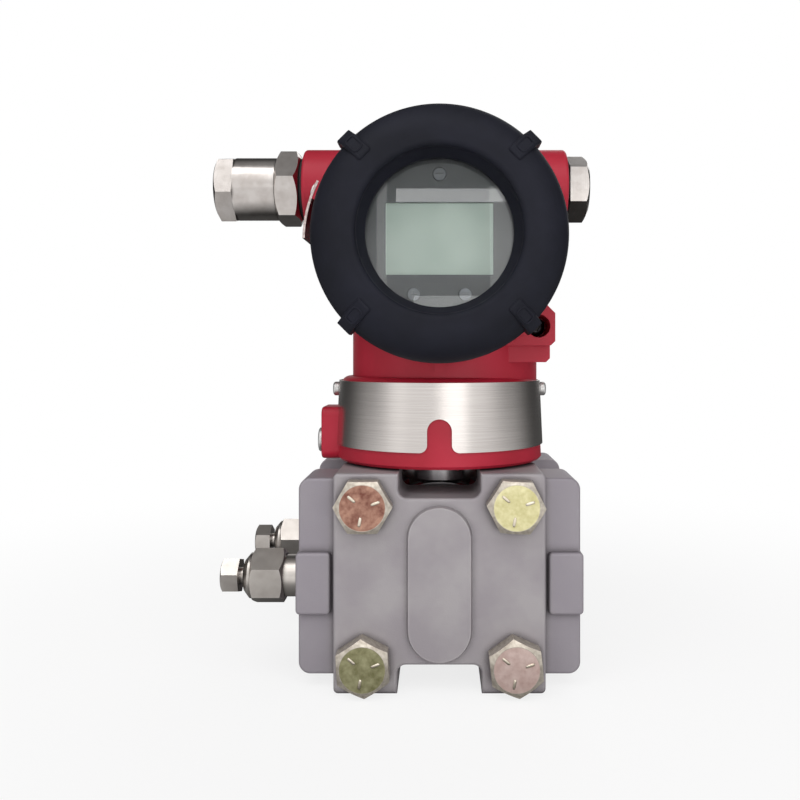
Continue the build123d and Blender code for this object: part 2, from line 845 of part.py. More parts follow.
with BuildPart() as neck_band:
    with BuildSketch(Plane.XZ):
        with BuildLine():
            Polyline(
                (collar_at(band_bottom) + turning_clear, band_bottom),
                (collar_at(band_bottom) + turning_clear + band_thickness, band_bottom),
                (collar_at(band_top) + turning_clear + band_thickness, band_top),
                (collar_at(band_top) + turning_clear, band_top),
                close=True,
            )
        make_face()
    revolve(axis=Axis.Z)
    with BuildSketch(Plane.XY.offset(band_bottom)):
        with Locations((0, collar_radius)):
            Rectangle(band_seam, 8 * band_thickness)
    extrude(amount=band_height, mode=Mode.SUBTRACT)
    with BuildSketch(Plane.XZ.offset(collar_radius + 2 * band_thickness)):
        flare = band_notch_flare
        notch_side = band_notch_width / 2
        straight = band_bottom + band_notch_height - notch_side
        with BuildLine():
            Line((-notch_side - flare, band_bottom), (notch_side + flare, band_bottom))
            CenterArc((notch_side + flare, band_bottom + flare), flare, 270, -90)
            Line((notch_side, band_bottom + flare), (notch_side, straight))
            CenterArc((0, straight), notch_side, 0, 180)
            Line((-notch_side, straight), (-notch_side, band_bottom + flare))
            CenterArc((-notch_side - flare, band_bottom + flare), flare, 0, -90)
        make_face()
    extrude(amount=-collar_radius, mode=Mode.SUBTRACT)
    with BuildSketch(side_plane(-boss_left, 0, collar_bottom + boss_height / 2)):
        RectangleRounded(boss_width + 2 * assembly_clear, boss_height + 2 * assembly_clear, boss_round)
    extrude(amount=boss_left, mode=Mode.SUBTRACT)
    for toward in (-1, 1):
        with BuildSketch(side_plane(0, 0, band_screw_z, toward)):
            Circle(band_screw_radius + assembly_clear)
        extrude(amount=collar_radius + 2 * band_thickness, mode=Mode.SUBTRACT)
neck_band.part.label = "neck_band"
neck_band.part.move(to_manifold)
export_step(neck_band.part, "parts/neck_band.step")

with BuildPart() as band_screws:
    for toward in (-1, 1):
        with Locations(side_plane(toward * band_seat, 0, band_screw_z, toward)):
            add(screw(band_screw_head, band_screw_head_height, band_screw_radius, band_screw_length))
band_screws.part.label = "band_screws"
band_screws.part.move(to_manifold)
export_step(band_screws.part, "parts/band_screws.step")

with BuildPart() as side_nameplate:
    with BuildSketch(Plane.XZ.offset(plate_front)):
        with BuildLine():
            outer = CenterArc((0, head_z), plate_radius, plate_start, plate_end - plate_start)
            inner = CenterArc((0, head_z), plate_radius - plate_thickness, plate_start, plate_end - plate_start)
            Line(outer @ 0, inner @ 0)
            Line(outer @ 1, inner @ 1)
        make_face()
    extrude(amount=plate_back - plate_front)
    for place in rivet_places:
        with BuildSketch(rivet_plane(plate_radius, -place)):
            Circle(rivet_radius + thread_clear)
        extrude(amount=-2 * plate_thickness, mode=Mode.SUBTRACT)
side_nameplate.part.label = "side_nameplate"
side_nameplate.part.move(to_manifold)
export_step(side_nameplate.part, "parts/side_nameplate.step")

with BuildPart() as nameplate_rivets:
    for place in rivet_places:
        with Locations(rivet_plane(plate_radius, -place)):
            Cylinder(rivet_radius, rivet_length, align=(Align.CENTER, Align.CENTER, Align.MAX))
            Cylinder(rivet_head_radius, rivet_head_height, align=(Align.CENTER, Align.CENTER, Align.MIN))
nameplate_rivets.part.label = "nameplate_rivets"
nameplate_rivets.part.move(to_manifold)
export_step(nameplate_rivets.part, "parts/nameplate_rivets.step")

# Cable gland on the left, holding no cable: z runs outwards from the conduit's mouth
gland_plane = side_plane(-conduit_left, 0, conduit_z, -1)
gland_hex_end = gland_ring_thickness + gland_hex_length
gland_nut_end = gland_hex_end + gland_nut_length + gland_cap_length
with BuildPart() as gland_o_ring:
    with BuildSketch(gland_plane):
        Circle(gland_ring_radius)
        Circle(conduit_bore_radius + thread_clear, mode=Mode.SUBTRACT)
    extrude(amount=gland_ring_thickness)
    fillet(gland_o_ring.edges().group_by(SortBy.LENGTH)[-1], gland_ring_thickness * 0.4)
gland_o_ring.part.label = "gland_o_ring"
gland_o_ring.part.move(to_manifold)
export_step(gland_o_ring.part, "parts/gland_o_ring.step")

with BuildPart() as gland_body:
    with Locations(gland_plane.offset(gland_ring_thickness)):
        add(chamfered_hex(gland_hex_flats, gland_hex_length, both_ends=True), rotation=(0, 0, gland_hex_turn))
    with BuildSketch(gland_plane.offset(gland_ring_thickness)):
        Circle(thread_radius)
    extrude(amount=-gland_thread_length - gland_ring_thickness)
    with BuildSketch(gland_plane.offset(gland_hex_end)):
        Circle(gland_tail_radius)
    extrude(amount=gland_tail_length)
    with BuildSketch(gland_plane.offset(gland_hex_end + gland_tail_length)):
        Circle(gland_bore)
    extrude(amount=-gland_tail_length - gland_hex_end - gland_thread_length, mode=Mode.SUBTRACT)
gland_body.part.label = "gland_body"
gland_body.part.move(to_manifold)
export_step(gland_body.part, "parts/gland_body.step")

with BuildPart() as gland_seal:
    with BuildSketch(gland_plane.offset(gland_hex_end + gland_tail_length)):
        Circle(gland_seal_radius)
        Circle(gland_seal_bore, mode=Mode.SUBTRACT)
    extrude(amount=gland_seal_length)
gland_seal.part.label = "gland_seal"
gland_seal.part.move(to_manifold)
export_step(gland_seal.part, "parts/gland_seal.step")

with BuildPart() as gland_nut:
    with BuildSketch(gland_plane.offset(gland_hex_end)):
        Circle(gland_nut_radius)
    extrude(amount=gland_nut_length)
    with Locations(gland_plane.offset(gland_hex_end + gland_nut_length)):
        add(chamfered_hex(gland_cap_flats, gland_cap_length), rotation=(0, 0, gland_cap_turn))
    with BuildSketch(gland_plane.offset(gland_hex_end)):
        Circle(gland_tail_radius + thread_clear)
    extrude(amount=gland_tail_length + gland_seal_length, mode=Mode.SUBTRACT)
    with BuildSketch(gland_plane.offset(gland_nut_end)):
        Circle(gland_mouth)
    extrude(amount=-gland_nut_length, mode=Mode.SUBTRACT)
gland_nut.part.label = "gland_nut"
gland_nut.part.move(to_manifold)
export_step(gland_nut.part, "parts/gland_nut.step")

# Blanking plug on the right
plug_plane = side_plane(conduit_right, 0, conduit_z, 1)
with BuildPart() as plug_o_ring:
    with BuildSketch(plug_plane):
        Circle(plug_ring_radius)
        Circle(conduit_bore_radius + thread_clear, mode=Mode.SUBTRACT)
    extrude(amount=plug_ring_thickness)
plug_o_ring.part.label = "plug_o_ring"
plug_o_ring.part.move(to_manifold)
export_step(plug_o_ring.part, "parts/plug_o_ring.step")

with BuildPart() as blanking_plug:
    with Locations(plug_plane.offset(plug_ring_thickness)):
        add(chamfered_hex(plug_hex_flats, plug_hex_length), rotation=(0, 0, plug_hex_turn))
    with BuildSketch(plug_plane.offset(plug_ring_thickness)):
        Circle(thread_radius)
    extrude(amount=-gland_thread_length - plug_ring_thickness)
    with BuildSketch(plug_plane.offset(-gland_thread_length)):
        Circle(gland_bore)
    extrude(amount=gland_thread_length - 2, mode=Mode.SUBTRACT)
blanking_plug.part.label = "blanking_plug"
blanking_plug.part.move(to_manifold)
export_step(blanking_plug.part, "parts/blanking_plug.step")

# Sensor cell between the flanges, and its shaft up into the head
with BuildPart() as sensor_module:
    waist = capsule_waist_length / 2
    slope = capsule_radius - capsule_waist
    with BuildSketch(Plane.XY.offset(bolt_z)):
        with BuildLine():
            Polyline(
                (0, -capsule_half),
                (capsule_radius - 0.6, -capsule_half),
                (capsule_radius, -capsule_half + 0.6),
                (capsule_radius, -waist - slope),
                (capsule_waist, -waist),
                (capsule_waist, waist),
                (capsule_radius, waist + slope),
                (capsule_radius, capsule_half - 0.6),
                (capsule_radius - 0.6, capsule_half),
                (0, capsule_half),
                close=True,
            )
        make_face()
    revolve(axis=Axis((0, 0, bolt_z), (0, 1, 0)))
    for toward in (-1, 1):
        with BuildSketch(Plane(origin=(0, toward * capsule_half, bolt_z), z_dir=(0, toward, 0))):
            Circle(diaphragm_radius + assembly_clear)
        extrude(amount=-diaphragm_seat_depth, mode=Mode.SUBTRACT)

    # Neck in the flanges' top notch, then the shaft that the head turns on
    throat_start = bolt_z + diaphragm_radius + assembly_clear + 0.6
    neck_start = bolt_z + capsule_radius + joint_gap
    groove = sensor_shaft_radius - lock_groove_depth
    seal_groove = sensor_shaft_radius - 2 * neck_seal_section - turning_clear
    seal_half = neck_seal_section + 0.2
    with BuildSketch(Plane.XZ):
        with BuildLine():
            Polyline(
                (0, throat_start),
                (sensor_throat_radius, throat_start),
                (sensor_throat_radius, neck_start),
                (sensor_neck_radius, neck_start),
                (sensor_neck_radius, collar_bottom - joint_gap),
                (sensor_shaft_radius, collar_bottom),
                (sensor_shaft_radius, turn_screw_z - lock_groove_width / 2),
                (groove, turn_screw_z - lock_groove_width / 2),
                (groove, turn_screw_z + lock_groove_width / 2),
                (sensor_shaft_radius, turn_screw_z + lock_groove_width / 2),
                (sensor_shaft_radius, neck_seal_z - seal_half),
                (seal_groove, neck_seal_z - seal_half),
                (seal_groove, neck_seal_z + seal_half),
                (sensor_shaft_radius, neck_seal_z + seal_half),
                (sensor_shaft_radius, sensor_shaft_top - 1),
                (sensor_shaft_radius - 1, sensor_shaft_top),
                (9, sensor_shaft_top),
                (9, sensor_shaft_top - 4),
                (0, sensor_shaft_top - 4),
                close=True,
            )
        make_face()
    revolve(axis=Axis.Z)
sensor_module.part.label = "sensor_module"
sensor_module.part.move(to_manifold)
export_step(sensor_module.part, "parts/sensor_module.step")

with BuildPart() as neck_seal:
    with BuildSketch(Plane.XZ):
        with Locations((sensor_shaft_radius - neck_seal_section - turning_clear / 2, neck_seal_z)):
            Circle(neck_seal_section)
    revolve(axis=Axis.Z)
neck_seal.part.label = "neck_seal"
neck_seal.part.move(to_manifold)
export_step(neck_seal.part, "parts/neck_seal.step")


def washer(inner, outer, start, end):
    """Flat ring about the cell's axis, between two values of Y."""
    with BuildPart() as piece:
        with BuildSketch(Plane.XZ.offset(-start)):
            with Locations((0, bolt_z)):
                Circle(outer)
                if inner:
                    Circle(inner, mode=Mode.SUBTRACT)
        extrude(amount=-(end - start))
    return piece.part


with BuildPart() as front_gasket:
    add(washer(gasket_inner, gasket_outer, -cell_half, -capsule_half))
front_gasket.part.label = "front_gasket"
front_gasket.part.move(to_manifold)
export_step(front_gasket.part, "parts/front_gasket.step")

with BuildPart() as rear_gasket:
    add(washer(gasket_inner, gasket_outer, capsule_half, cell_half))
rear_gasket.part.label = "rear_gasket"
rear_gasket.part.move(to_manifold)
export_step(rear_gasket.part, "parts/rear_gasket.step")

diaphragm_seat = capsule_half - diaphragm_seat_depth
with BuildPart() as front_diaphragm:
    add(washer(0, diaphragm_radius, -diaphragm_seat - diaphragm_thickness, -diaphragm_seat))
front_diaphragm.part.label = "front_diaphragm"
front_diaphragm.part.move(to_manifold)
export_step(front_diaphragm.part, "parts/front_diaphragm.step")

with BuildPart() as rear_diaphragm:
    add(washer(0, diaphragm_radius, diaphragm_seat, diaphragm_seat + diaphragm_thickness))
rear_diaphragm.part.label = "rear_diaphragm"
rear_diaphragm.part.move(to_manifold)
export_step(rear_diaphragm.part, "parts/rear_diaphragm.step")

# Process flanges: the front one is modelled, the rear one is its mirror image
with BuildPart() as front_flange:
    with BuildSketch(Plane.XZ.offset(cell_half)):
        with Locations((0, flange_height / 2)):
            Rectangle(flange_width, flange_height)
        fillet(vertices(), flange_corner)
    extrude(amount=flange_depth)
    with BuildSketch(Plane.XZ.offset(cell_half)):
        with Locations((0, (wing_bottom + wing_top) / 2)):
            Rectangle(wing_span, wing_top - wing_bottom)
        fillet(vertices().group_by(Axis.Y)[-1], wing_top_round)
        fillet(vertices().filter_by(lambda v: v.Y < wing_bottom + 0.1), wing_bottom_round)
    extrude(amount=wing_depth)

    # Notches between the bolts, at the top for the sensor's neck and at the bottom
    with BuildSketch(Plane.XZ.offset(cell_half)):
        with Locations((0, flange_height)):
            Rectangle(top_notch_width, 2 * top_notch_depth)
        Rectangle(bottom_notch_width, 2 * bottom_notch_depth)
        fillet(vertices(), notch_round)
    extrude(amount=flange_depth, mode=Mode.SUBTRACT)
    fillet(front_flange.faces().sort_by(Axis.Y)[0].edges(), casting_round)
    wing_edges = front_flange.edges().filter_by_position(Axis.Y, -wing_front - 0.01, -wing_front + 0.01)
    fillet(wing_edges.filter_by(lambda e: abs(e.center().X) > flange_width / 2 + 0.5), casting_round)

    # Thickened pads round the side ports, and the raised pad between the bolts
    pad_start = cell_half + 3
    with BuildSketch(Plane.XZ.offset(pad_start)):
        with Locations((port_face - port_pad_inset / 2, port_z), (-port_face + port_pad_inset / 2, port_z)):
            RectangleRounded(port_pad_inset, port_pad_height, 1.5)
    extrude(amount=wing_front + port_pad_front_proud - pad_start)
    pad_faces = front_flange.faces().filter_by(Axis.Y)
    pad_level = -wing_front - port_pad_front_proud
    for face in pad_faces.filter_by_position(Axis.Y, pad_level - 0.01, pad_level + 0.01):
        fillet(face.edges(), casting_round)
    with BuildSketch(Plane.XZ.offset(flange_front)):
        with Locations((0, bolt_z)):
            SlotOverall(face_pad_height, face_pad_width, rotation=90)
    extrude(amount=face_pad_proud, taper=20)

    # Bolt holes
    with BuildSketch(Plane.XZ.offset(cell_half)):
        with Locations((0, bolt_z)):
            with GridLocations(bolt_pattern_x, bolt_pattern_z, 2, 2):
                Circle(bolt_radius + bolt_hole_clear)
    extrude(amount=flange_depth, mode=Mode.SUBTRACT)

    # Pressure chamber at the diaphragm, fed from the tapped port at each side
    with BuildSketch(Plane.XZ.offset(cell_half)):
        with Locations((0, bolt_z)):
            Circle(chamber_radius)
    extrude(amount=chamber_depth, mode=Mode.SUBTRACT)
    with BuildSketch(Plane.XZ.offset(cell_half)):
        with Locations((0, port_z)):
            Circle(feed_radius)
    extrude(amount=port_y - cell_half, mode=Mode.SUBTRACT)
    with BuildSketch(side_plane(-wing_half, -port_y, port_z)):
        Circle(feed_radius)
    extrude(amount=wing_span, mode=Mode.SUBTRACT)
    for toward in (-1, 1):
        with BuildSketch(side_plane(toward * port_face, -port_y, port_z, toward)):
            Circle(npt_radius)
        extrude(amount=-npt_depth, mode=Mode.SUBTRACT)

    # Tapped holes for the oval adapter or manifold, beside the process port
    with BuildSketch(side_plane(wing_half, -port_y, port_z)):
        with Locations((0, manifold_spacing / 2), (0, -manifold_spacing / 2)):
            Circle(manifold_tap_radius)
    extrude(amount=-manifold_tap_depth, mode=Mode.SUBTRACT)
front_flange.part.label = "front_flange"
front_flange.part.move(to_manifold)
export_step(front_flange.part, "parts/front_flange.step")

with BuildPart() as rear_flange:
    mirror(front_flange.part, about=Plane.XZ)
rear_flange.part.label = "rear_flange"
export_step(rear_flange.part, "parts/rear_flange.step")

# Four bolts with their heads at the front, and their nuts at the rear
bolt_length = 2 * flange_front + nut_height + bolt_stick_out
with BuildPart() as bolt_form:
    add(chamfered_hex(bolt_across_flats, bolt_head_height, face=bolt_face))
    with BuildSketch():
        Circle(bolt_radius)
    extrude(amount=-bolt_length)
    chamfer(bolt_form.faces().sort_by(Axis.Z)[0].edges(), 1.2)

with BuildPart() as flange_bolts:
    for (right, up), turn in bolt_turns.items():
        bolt_x = right * bolt_pattern_x / 2
        bolt_height = bolt_z + up * bolt_pattern_z / 2
        a = radians(turn)
        with Locations(Plane(origin=(bolt_x, -flange_front, bolt_height), x_dir=(cos(a), 0, sin(a)), z_dir=(0, -1, 0))):
            add(bolt_form.part)
flange_bolts.part.label = "flange_bolts"
flange_bolts.part.move(to_manifold)
export_step(flange_bolts.part, "parts/flange_bolts.step")

with BuildPart() as nut_form:
    add(chamfered_hex(bolt_across_flats, nut_height, both_ends=True))
    with BuildSketch():
        Circle(bolt_radius + thread_clear)
    extrude(amount=nut_height, mode=Mode.SUBTRACT)

with BuildPart() as flange_nuts:
    for right, up in bolt_turns:
        bolt_x = right * bolt_pattern_x / 2
        bolt_height = bolt_z + up * bolt_pattern_z / 2
        with Locations(Plane(origin=(bolt_x, flange_front, bolt_height), x_dir=(1, 0, 0), z_dir=(0, 1, 0))):
            add(nut_form.part)
flange_nuts.part.label = "flange_nuts"
flange_nuts.part.move(to_manifold)
export_step(flange_nuts.part, "parts/flange_nuts.step")

# Vent valves on the left ends of the flanges: z runs outwards from the flange
vent_hex_start = vent_neck_length
vent_hex_end = vent_hex_start + vent_hex_length
vent_body_end = vent_hex_end + vent_cone_length
stem_tip = vent_body_end - vent_stem_depth
with BuildPart() as vent_body_form:
    with BuildSketch():
        Circle(npt_radius - thread_clear)
    extrude(amount=-vent_thread_length)
    with BuildSketch():
        Circle(vent_neck_radius)
    extrude(amount=vent_neck_length)
    with Locations((0, 0, vent_hex_start)):
        add(chamfered_hex(vent_hex_flats, vent_hex_length, both_ends=True))
    with BuildSketch(Plane.XZ):
        with BuildLine():
            Polyline(
                (0, vent_hex_end),
                (vent_cone_radius, vent_hex_end),
                (vent_cone_radius, vent_hex_end + vent_cone_length * 0.3),
                (vent_cone_tip, vent_body_end),
                (0, vent_body_end),
                close=True,
            )
        make_face()
    revolve(axis=Axis.Z)
    with BuildSketch(Plane.XY.offset(-vent_thread_length)):
        Circle(vent_seat_radius)
    extrude(amount=vent_thread_length + vent_body_end, mode=Mode.SUBTRACT)
    with BuildSketch(Plane.XY.offset(stem_tip - vent_stem_radius)):
        Circle(vent_stem_radius + thread_clear)
    extrude(amount=vent_body_end - stem_tip + vent_stem_radius, mode=Mode.SUBTRACT)

with BuildPart() as vent_screw_form:
    with BuildSketch(Plane.XZ):
        with BuildLine():
            Polyline(
                (0, stem_tip - vent_stem_radius + joint_gap),
                (vent_stem_radius * 0.4, stem_tip - vent_stem_radius + joint_gap),
                (vent_stem_radius, stem_tip),
                (vent_stem_radius, vent_body_end + vent_stem_show),
                (0, vent_body_end + vent_stem_show),
                close=True,
            )
        make_face()
    revolve(axis=Axis.Z)
    with Locations((0, 0, vent_body_end + vent_stem_show)):
        add(chamfered_hex(vent_screw_flats, vent_screw_length))

front_vent_plane = side_plane(-port_face, -port_y, port_z, -1)
rear_vent_plane = side_plane(-port_face, port_y, port_z, -1)
with BuildPart() as front_vent_body:
    with Locations(front_vent_plane):
        add(vent_body_form.part, rotation=(0, 0, vent_turns["front"][0]))
front_vent_body.part.label = "front_vent_body"
front_vent_body.part.move(to_manifold)
export_step(front_vent_body.part, "parts/front_vent_body.step")

with BuildPart() as rear_vent_body:
    with Locations(rear_vent_plane):
        add(vent_body_form.part, rotation=(0, 0, vent_turns["rear"][0]))
rear_vent_body.part.label = "rear_vent_body"
rear_vent_body.part.move(to_manifold)
export_step(rear_vent_body.part, "parts/rear_vent_body.step")

with BuildPart() as front_vent_screw:
    with Locations(front_vent_plane):
        add(vent_screw_form.part, rotation=(0, 0, vent_turns["front"][1]))
front_vent_screw.part.label = "front_vent_screw"
front_vent_screw.part.move(to_manifold)
export_step(front_vent_screw.part, "parts/front_vent_screw.step")

with BuildPart() as rear_vent_screw:
    with Locations(rear_vent_plane):
        add(vent_screw_form.part, rotation=(0, 0, vent_turns["rear"][1]))
rear_vent_screw.part.label = "rear_vent_screw"
rear_vent_screw.part.move(to_manifold)
export_step(rear_vent_screw.part, "parts/rear_vent_screw.step")
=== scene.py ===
"""Looks of a differential pressure transmitter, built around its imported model.

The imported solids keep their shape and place. This script gives each of them its finish,
and adds the detail that is too fine for the solids: strength marks on the bolt heads,
threads on the bolt ends and in the ports, and raised marks on the covers' grip lugs.
"""

import json
import logging
import math
from dataclasses import dataclass
from enum import Enum
from functools import partial
from typing import Any, Optional, Sequence

import bmesh
import bpy
from mathutils import Matrix, Vector
from mathutils.bvhtree import BVHTree


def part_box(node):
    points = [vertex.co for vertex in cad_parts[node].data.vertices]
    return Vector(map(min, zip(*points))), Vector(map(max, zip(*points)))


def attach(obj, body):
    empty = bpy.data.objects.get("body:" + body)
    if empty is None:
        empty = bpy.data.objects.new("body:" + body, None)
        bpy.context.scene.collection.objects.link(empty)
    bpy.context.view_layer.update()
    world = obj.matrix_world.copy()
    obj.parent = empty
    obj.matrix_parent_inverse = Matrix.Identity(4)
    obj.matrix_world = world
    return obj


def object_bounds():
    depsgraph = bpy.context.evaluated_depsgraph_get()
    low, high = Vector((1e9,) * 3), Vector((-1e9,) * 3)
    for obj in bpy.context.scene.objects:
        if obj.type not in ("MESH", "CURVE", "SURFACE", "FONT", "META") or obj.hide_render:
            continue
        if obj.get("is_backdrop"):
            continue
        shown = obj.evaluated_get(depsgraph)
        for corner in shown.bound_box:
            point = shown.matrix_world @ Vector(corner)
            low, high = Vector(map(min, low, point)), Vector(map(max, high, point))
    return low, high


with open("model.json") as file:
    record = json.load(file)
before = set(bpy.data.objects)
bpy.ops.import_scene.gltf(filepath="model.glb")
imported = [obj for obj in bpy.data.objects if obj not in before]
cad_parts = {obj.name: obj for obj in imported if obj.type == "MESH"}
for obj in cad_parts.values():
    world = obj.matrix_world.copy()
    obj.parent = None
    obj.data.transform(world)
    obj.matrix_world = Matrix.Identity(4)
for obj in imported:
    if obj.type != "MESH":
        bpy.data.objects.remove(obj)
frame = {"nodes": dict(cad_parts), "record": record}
log = logging.getLogger("transmitter")

MM = 0.001
PICTURE_SIDE = 800

# Distance between the flange bolts' axes along X and along Z, in millimetres
BOLT_SPACING = (50.5, 52.8)

# Section of a raised line: sideways in widths, upwards in heights, sunk a little at its foot
LINE_SECTION = ((-0.5, -0.4), (-0.42, 0.5), (-0.2, 0.95), (0.2, 0.95), (0.42, 0.5), (0.5, -0.4))
# What is left of the section at an open line's ends
LINE_END = 0.55

# A smooth step: where it starts and ends, then the levels before and after it
Step = tuple[float, float, float, float]


def linear(colour: str) -> tuple[float, float, float, float]:
    """Turn an sRGB hex colour into linear light.

    Args:
        colour: Six hex digits, with a leading hash.

    Returns:
        Red, green, blue and an alpha of one.
    """
    channels = [int(colour[i:i + 2], 16) / 255 for i in (1, 3, 5)]
    light = [c / 12.92 if c <= 0.04045 else ((c + 0.055) / 1.055) ** 2.4 for c in channels]
    return (light[0], light[1], light[2], 1.0)


def feed(tree: bpy.types.NodeTree, node: bpy.types.Node, inputs: dict[Any, Any]) -> None:
    """Set or link a node's inputs.

    Args:
        tree: Node tree that holds the node.
        node: Node that takes the inputs.
        inputs: Input name or index to its source: a number or vector, an sRGB hex colour,
            a socket, or a node, whose first active output is linked.
    """
    for key, source in inputs.items():
        if isinstance(source, bpy.types.Node):
            source = next(output for output in source.outputs if output.enabled)
        if isinstance(source, bpy.types.NodeSocket):
            tree.links.new(source, node.inputs[key])
        else:
            node.inputs[key].default_value = linear(source) if isinstance(source, str) else source


def add_node(tree: bpy.types.NodeTree, kind: str, inputs: Any = (), **settings: Any) -> bpy.types.Node:
    """Add one shader node with its settings and links.

    Args:
        tree: Node tree that takes the node.
        kind: Node type, such as ShaderNodeTexNoise.
        inputs: Sources as feed takes them, or a row of sources in the order of the inputs.
        **settings: Attributes of the node itself.

    Returns:
        The new node.
    """
    node = tree.nodes.new(kind)
    for key, value in settings.items():
        setattr(node, key, value)
    feed(tree, node, inputs if isinstance(inputs, dict) else dict(enumerate(inputs)))
    return node


class Axis(Enum):
    """Row axis that a tool turned or ran along."""

    X = 0
    Y = 1
    Z = 2


@dataclass(frozen=True)
class Finish:
    """A surface finish: the base of all the materials here. Sizes ending in _mm are real ones."""

    name: str

    def material(self) -> bpy.types.Material:
        """Build the material once, and hand out the same one after that."""
        known = bpy.data.materials.get(self.name)
        if known:
            return known
        made = bpy.data.materials.new(self.name)
        made.use_nodes = True
        tree = made.node_tree
        place = add_node(tree, "ShaderNodeTexCoord").outputs["Object"]
        self.shade(tree, tree.nodes["Principled BSDF"], place)
        return made

    def shade(self, tree: bpy.types.NodeTree, shader: bpy.types.Node, place: bpy.types.NodeSocket) -> None:
        """Set the shader up.

        Args:
            tree: The material's node tree.
            shader: Its Principled shader.
            place: Coordinates in metres, in the row frame.
        """
        raise NotImplementedError

    def grain(
        self,
        tree: bpy.types.NodeTree,
        place: bpy.types.NodeSocket,
        size_mm: float,
        detail: float = 2.0,
        stretch: Optional[tuple[float, float, float]] = None,
    ) -> bpy.types.Node:
        """Noise whose grains are about one real size across.

        Args:
            tree: Node tree that takes the noise.
            place: Coordinates in metres.
            size_mm: Size of a grain in millimetres.
            detail: Octaves of finer noise.
            stretch: How many grains long it is along X, Y and Z.

        Returns:
            The noise's node.
        """
        source: Any = place
        if stretch:
            scale = tuple(1 / s for s in stretch)
            source = add_node(tree, "ShaderNodeMapping", {"Vector": place, "Scale": scale})
        inputs = {"Vector": source, "Scale": 1 / (size_mm * MM), "Detail": detail, "Roughness": 0.55}
        return add_node(tree, "ShaderNodeTexNoise", inputs)

    def two_tone(
        self,
        tree: bpy.types.NodeTree,
        pattern: bpy.types.Node,
        low_tone: str,
        high_tone: str,
        spread: tuple[float, float] = (0.3, 0.7),
    ) -> bpy.types.Node:
        """Let a surface drift between two tones along a pattern.

        Args:
            tree: Node tree that takes the nodes.
            pattern: Node whose first output runs from 0 to 1.
            low_tone: sRGB hex colour at the pattern's low end.
            high_tone: sRGB hex colour at its high end.
            spread: Levels of the pattern between which the tones mix.

        Returns:
            The node with the mixed colour.
        """
        share = add_node(tree, "ShaderNodeMapRange", (pattern, *spread))
        return add_node(tree, "ShaderNodeMix", {0: share, 6: low_tone, 7: high_tone}, data_type="RGBA")

    def bump(
        self,
        tree: bpy.types.NodeTree,
        shader: bpy.types.Node,
        height: bpy.types.Node,
        depth_mm: float,
        strength: float,
    ) -> None:
        """Raise the surface by a height map of a real depth.

        Args:
            tree: Node tree that takes the bump.
            shader: Shader whose normal it feeds.
            height: Node whose first output runs from 0 to 1.
            depth_mm: Height of 1 in millimetres.
            strength: Share of the bump that shows.
        """
        inputs = {"Height": height, "Distance": depth_mm * MM, "Strength": strength}
        feed(tree, shader, {"Normal": add_node(tree, "ShaderNodeBump", inputs)})

    def edges(self, tree: bpy.types.NodeTree, radius_mm: float, share: float) -> bpy.types.Node:
        """Mask of the edges, paled partly as wear from handling and blasting, partly as a painted highlight.

        Args:
            tree: Node tree that takes the mask.
            radius_mm: How far from an edge it reaches.
            share: The mask's value on an edge. It is 0 away from it.

        Returns:
            The mask's node.
        """
        rounded = add_node(tree, "ShaderNodeBevel", {"Radius": radius_mm * MM}, samples=4)
        flat = add_node(tree, "ShaderNodeNewGeometry").outputs["Normal"]
        facing = add_node(tree, "ShaderNodeVectorMath", (rounded, flat), operation="DOT_PRODUCT")
        step = (facing, 0.99, 0.85, 0.0, share)
        return add_node(tree, "ShaderNodeMapRange", step, interpolation_type="SMOOTHSTEP")

    def corners(self, tree: bpy.types.NodeTree, reach_mm: float, share: float) -> bpy.types.Node:
        """Mask of the inner corners, where painted shade darkens the colour.

        Args:
            tree: Node tree that takes the mask.
            reach_mm: How far from a corner it reaches.
            share: The mask's value deep in a corner. It is 0 in the open.

        Returns:
            The mask's node.
        """
        occluded = add_node(tree, "ShaderNodeAmbientOcclusion", {"Distance": reach_mm * MM}, samples=6)
        step = (occluded.outputs["AO"], 0.95, 0.45, 0.0, share)
        return add_node(tree, "ShaderNodeMapRange", step, interpolation_type="SMOOTHSTEP")


@dataclass(frozen=True)
class PowderCoat(Finish):
    """Polyester powder coat on die-cast aluminium: an even satin skin with a fine orange peel."""

    colour: str = "#AB2035"
    shade_colour: str = "#A01C2E"
    roughness: float = 0.42
    gloss: float = 0.3
    drift_mm: float = 22.0
    peel_mm: float = 1.1
    peel_depth_mm: float = 0.03

    def shade(self, tree: bpy.types.NodeTree, shader: bpy.types.Node, place: bpy.types.NodeSocket) -> None:
        """Slight drift of colour, and the peel as bump."""
        drift = self.grain(tree, place, self.drift_mm, 1.0)
        feed(tree, shader, {
            "Base Color": self.two_tone(tree, drift, self.shade_colour, self.colour, (0.35, 0.65)),
            "Roughness": self.roughness,
            "IOR": 1.5,
            "Specular IOR Level": self.gloss,
        })
        self.bump(tree, shader, self.grain(tree, place, self.peel_mm, 1.0), self.peel_depth_mm, 0.6)


@dataclass(frozen=True)
class MattePaint(Finish):
    """Matte textured paint or moulding: dark, soft highlights, a fine even grain."""

    colour: str = "#15161E"
    worn_colour: str = "#1B1C26"
    roughness: float = 0.6
    gloss: float = 0.16
    drift_mm: float = 14.0
    grain_mm: float = 0.45
    depth_mm: float = 0.03

    def shade(self, tree: bpy.types.NodeTree, shader: bpy.types.Node, place: bpy.types.NodeSocket) -> None:
        """Broad drift of tone over a fine grain."""
        drift = self.grain(tree, place, self.drift_mm)
        feed(tree, shader, {
            "Base Color": self.two_tone(tree, drift, self.colour, self.worn_colour),
            "Roughness": self.roughness,
            "IOR": 1.5,
            "Specular IOR Level": self.gloss,
        })
        self.bump(tree, shader, self.grain(tree, place, self.grain_mm), self.depth_mm, 0.7)


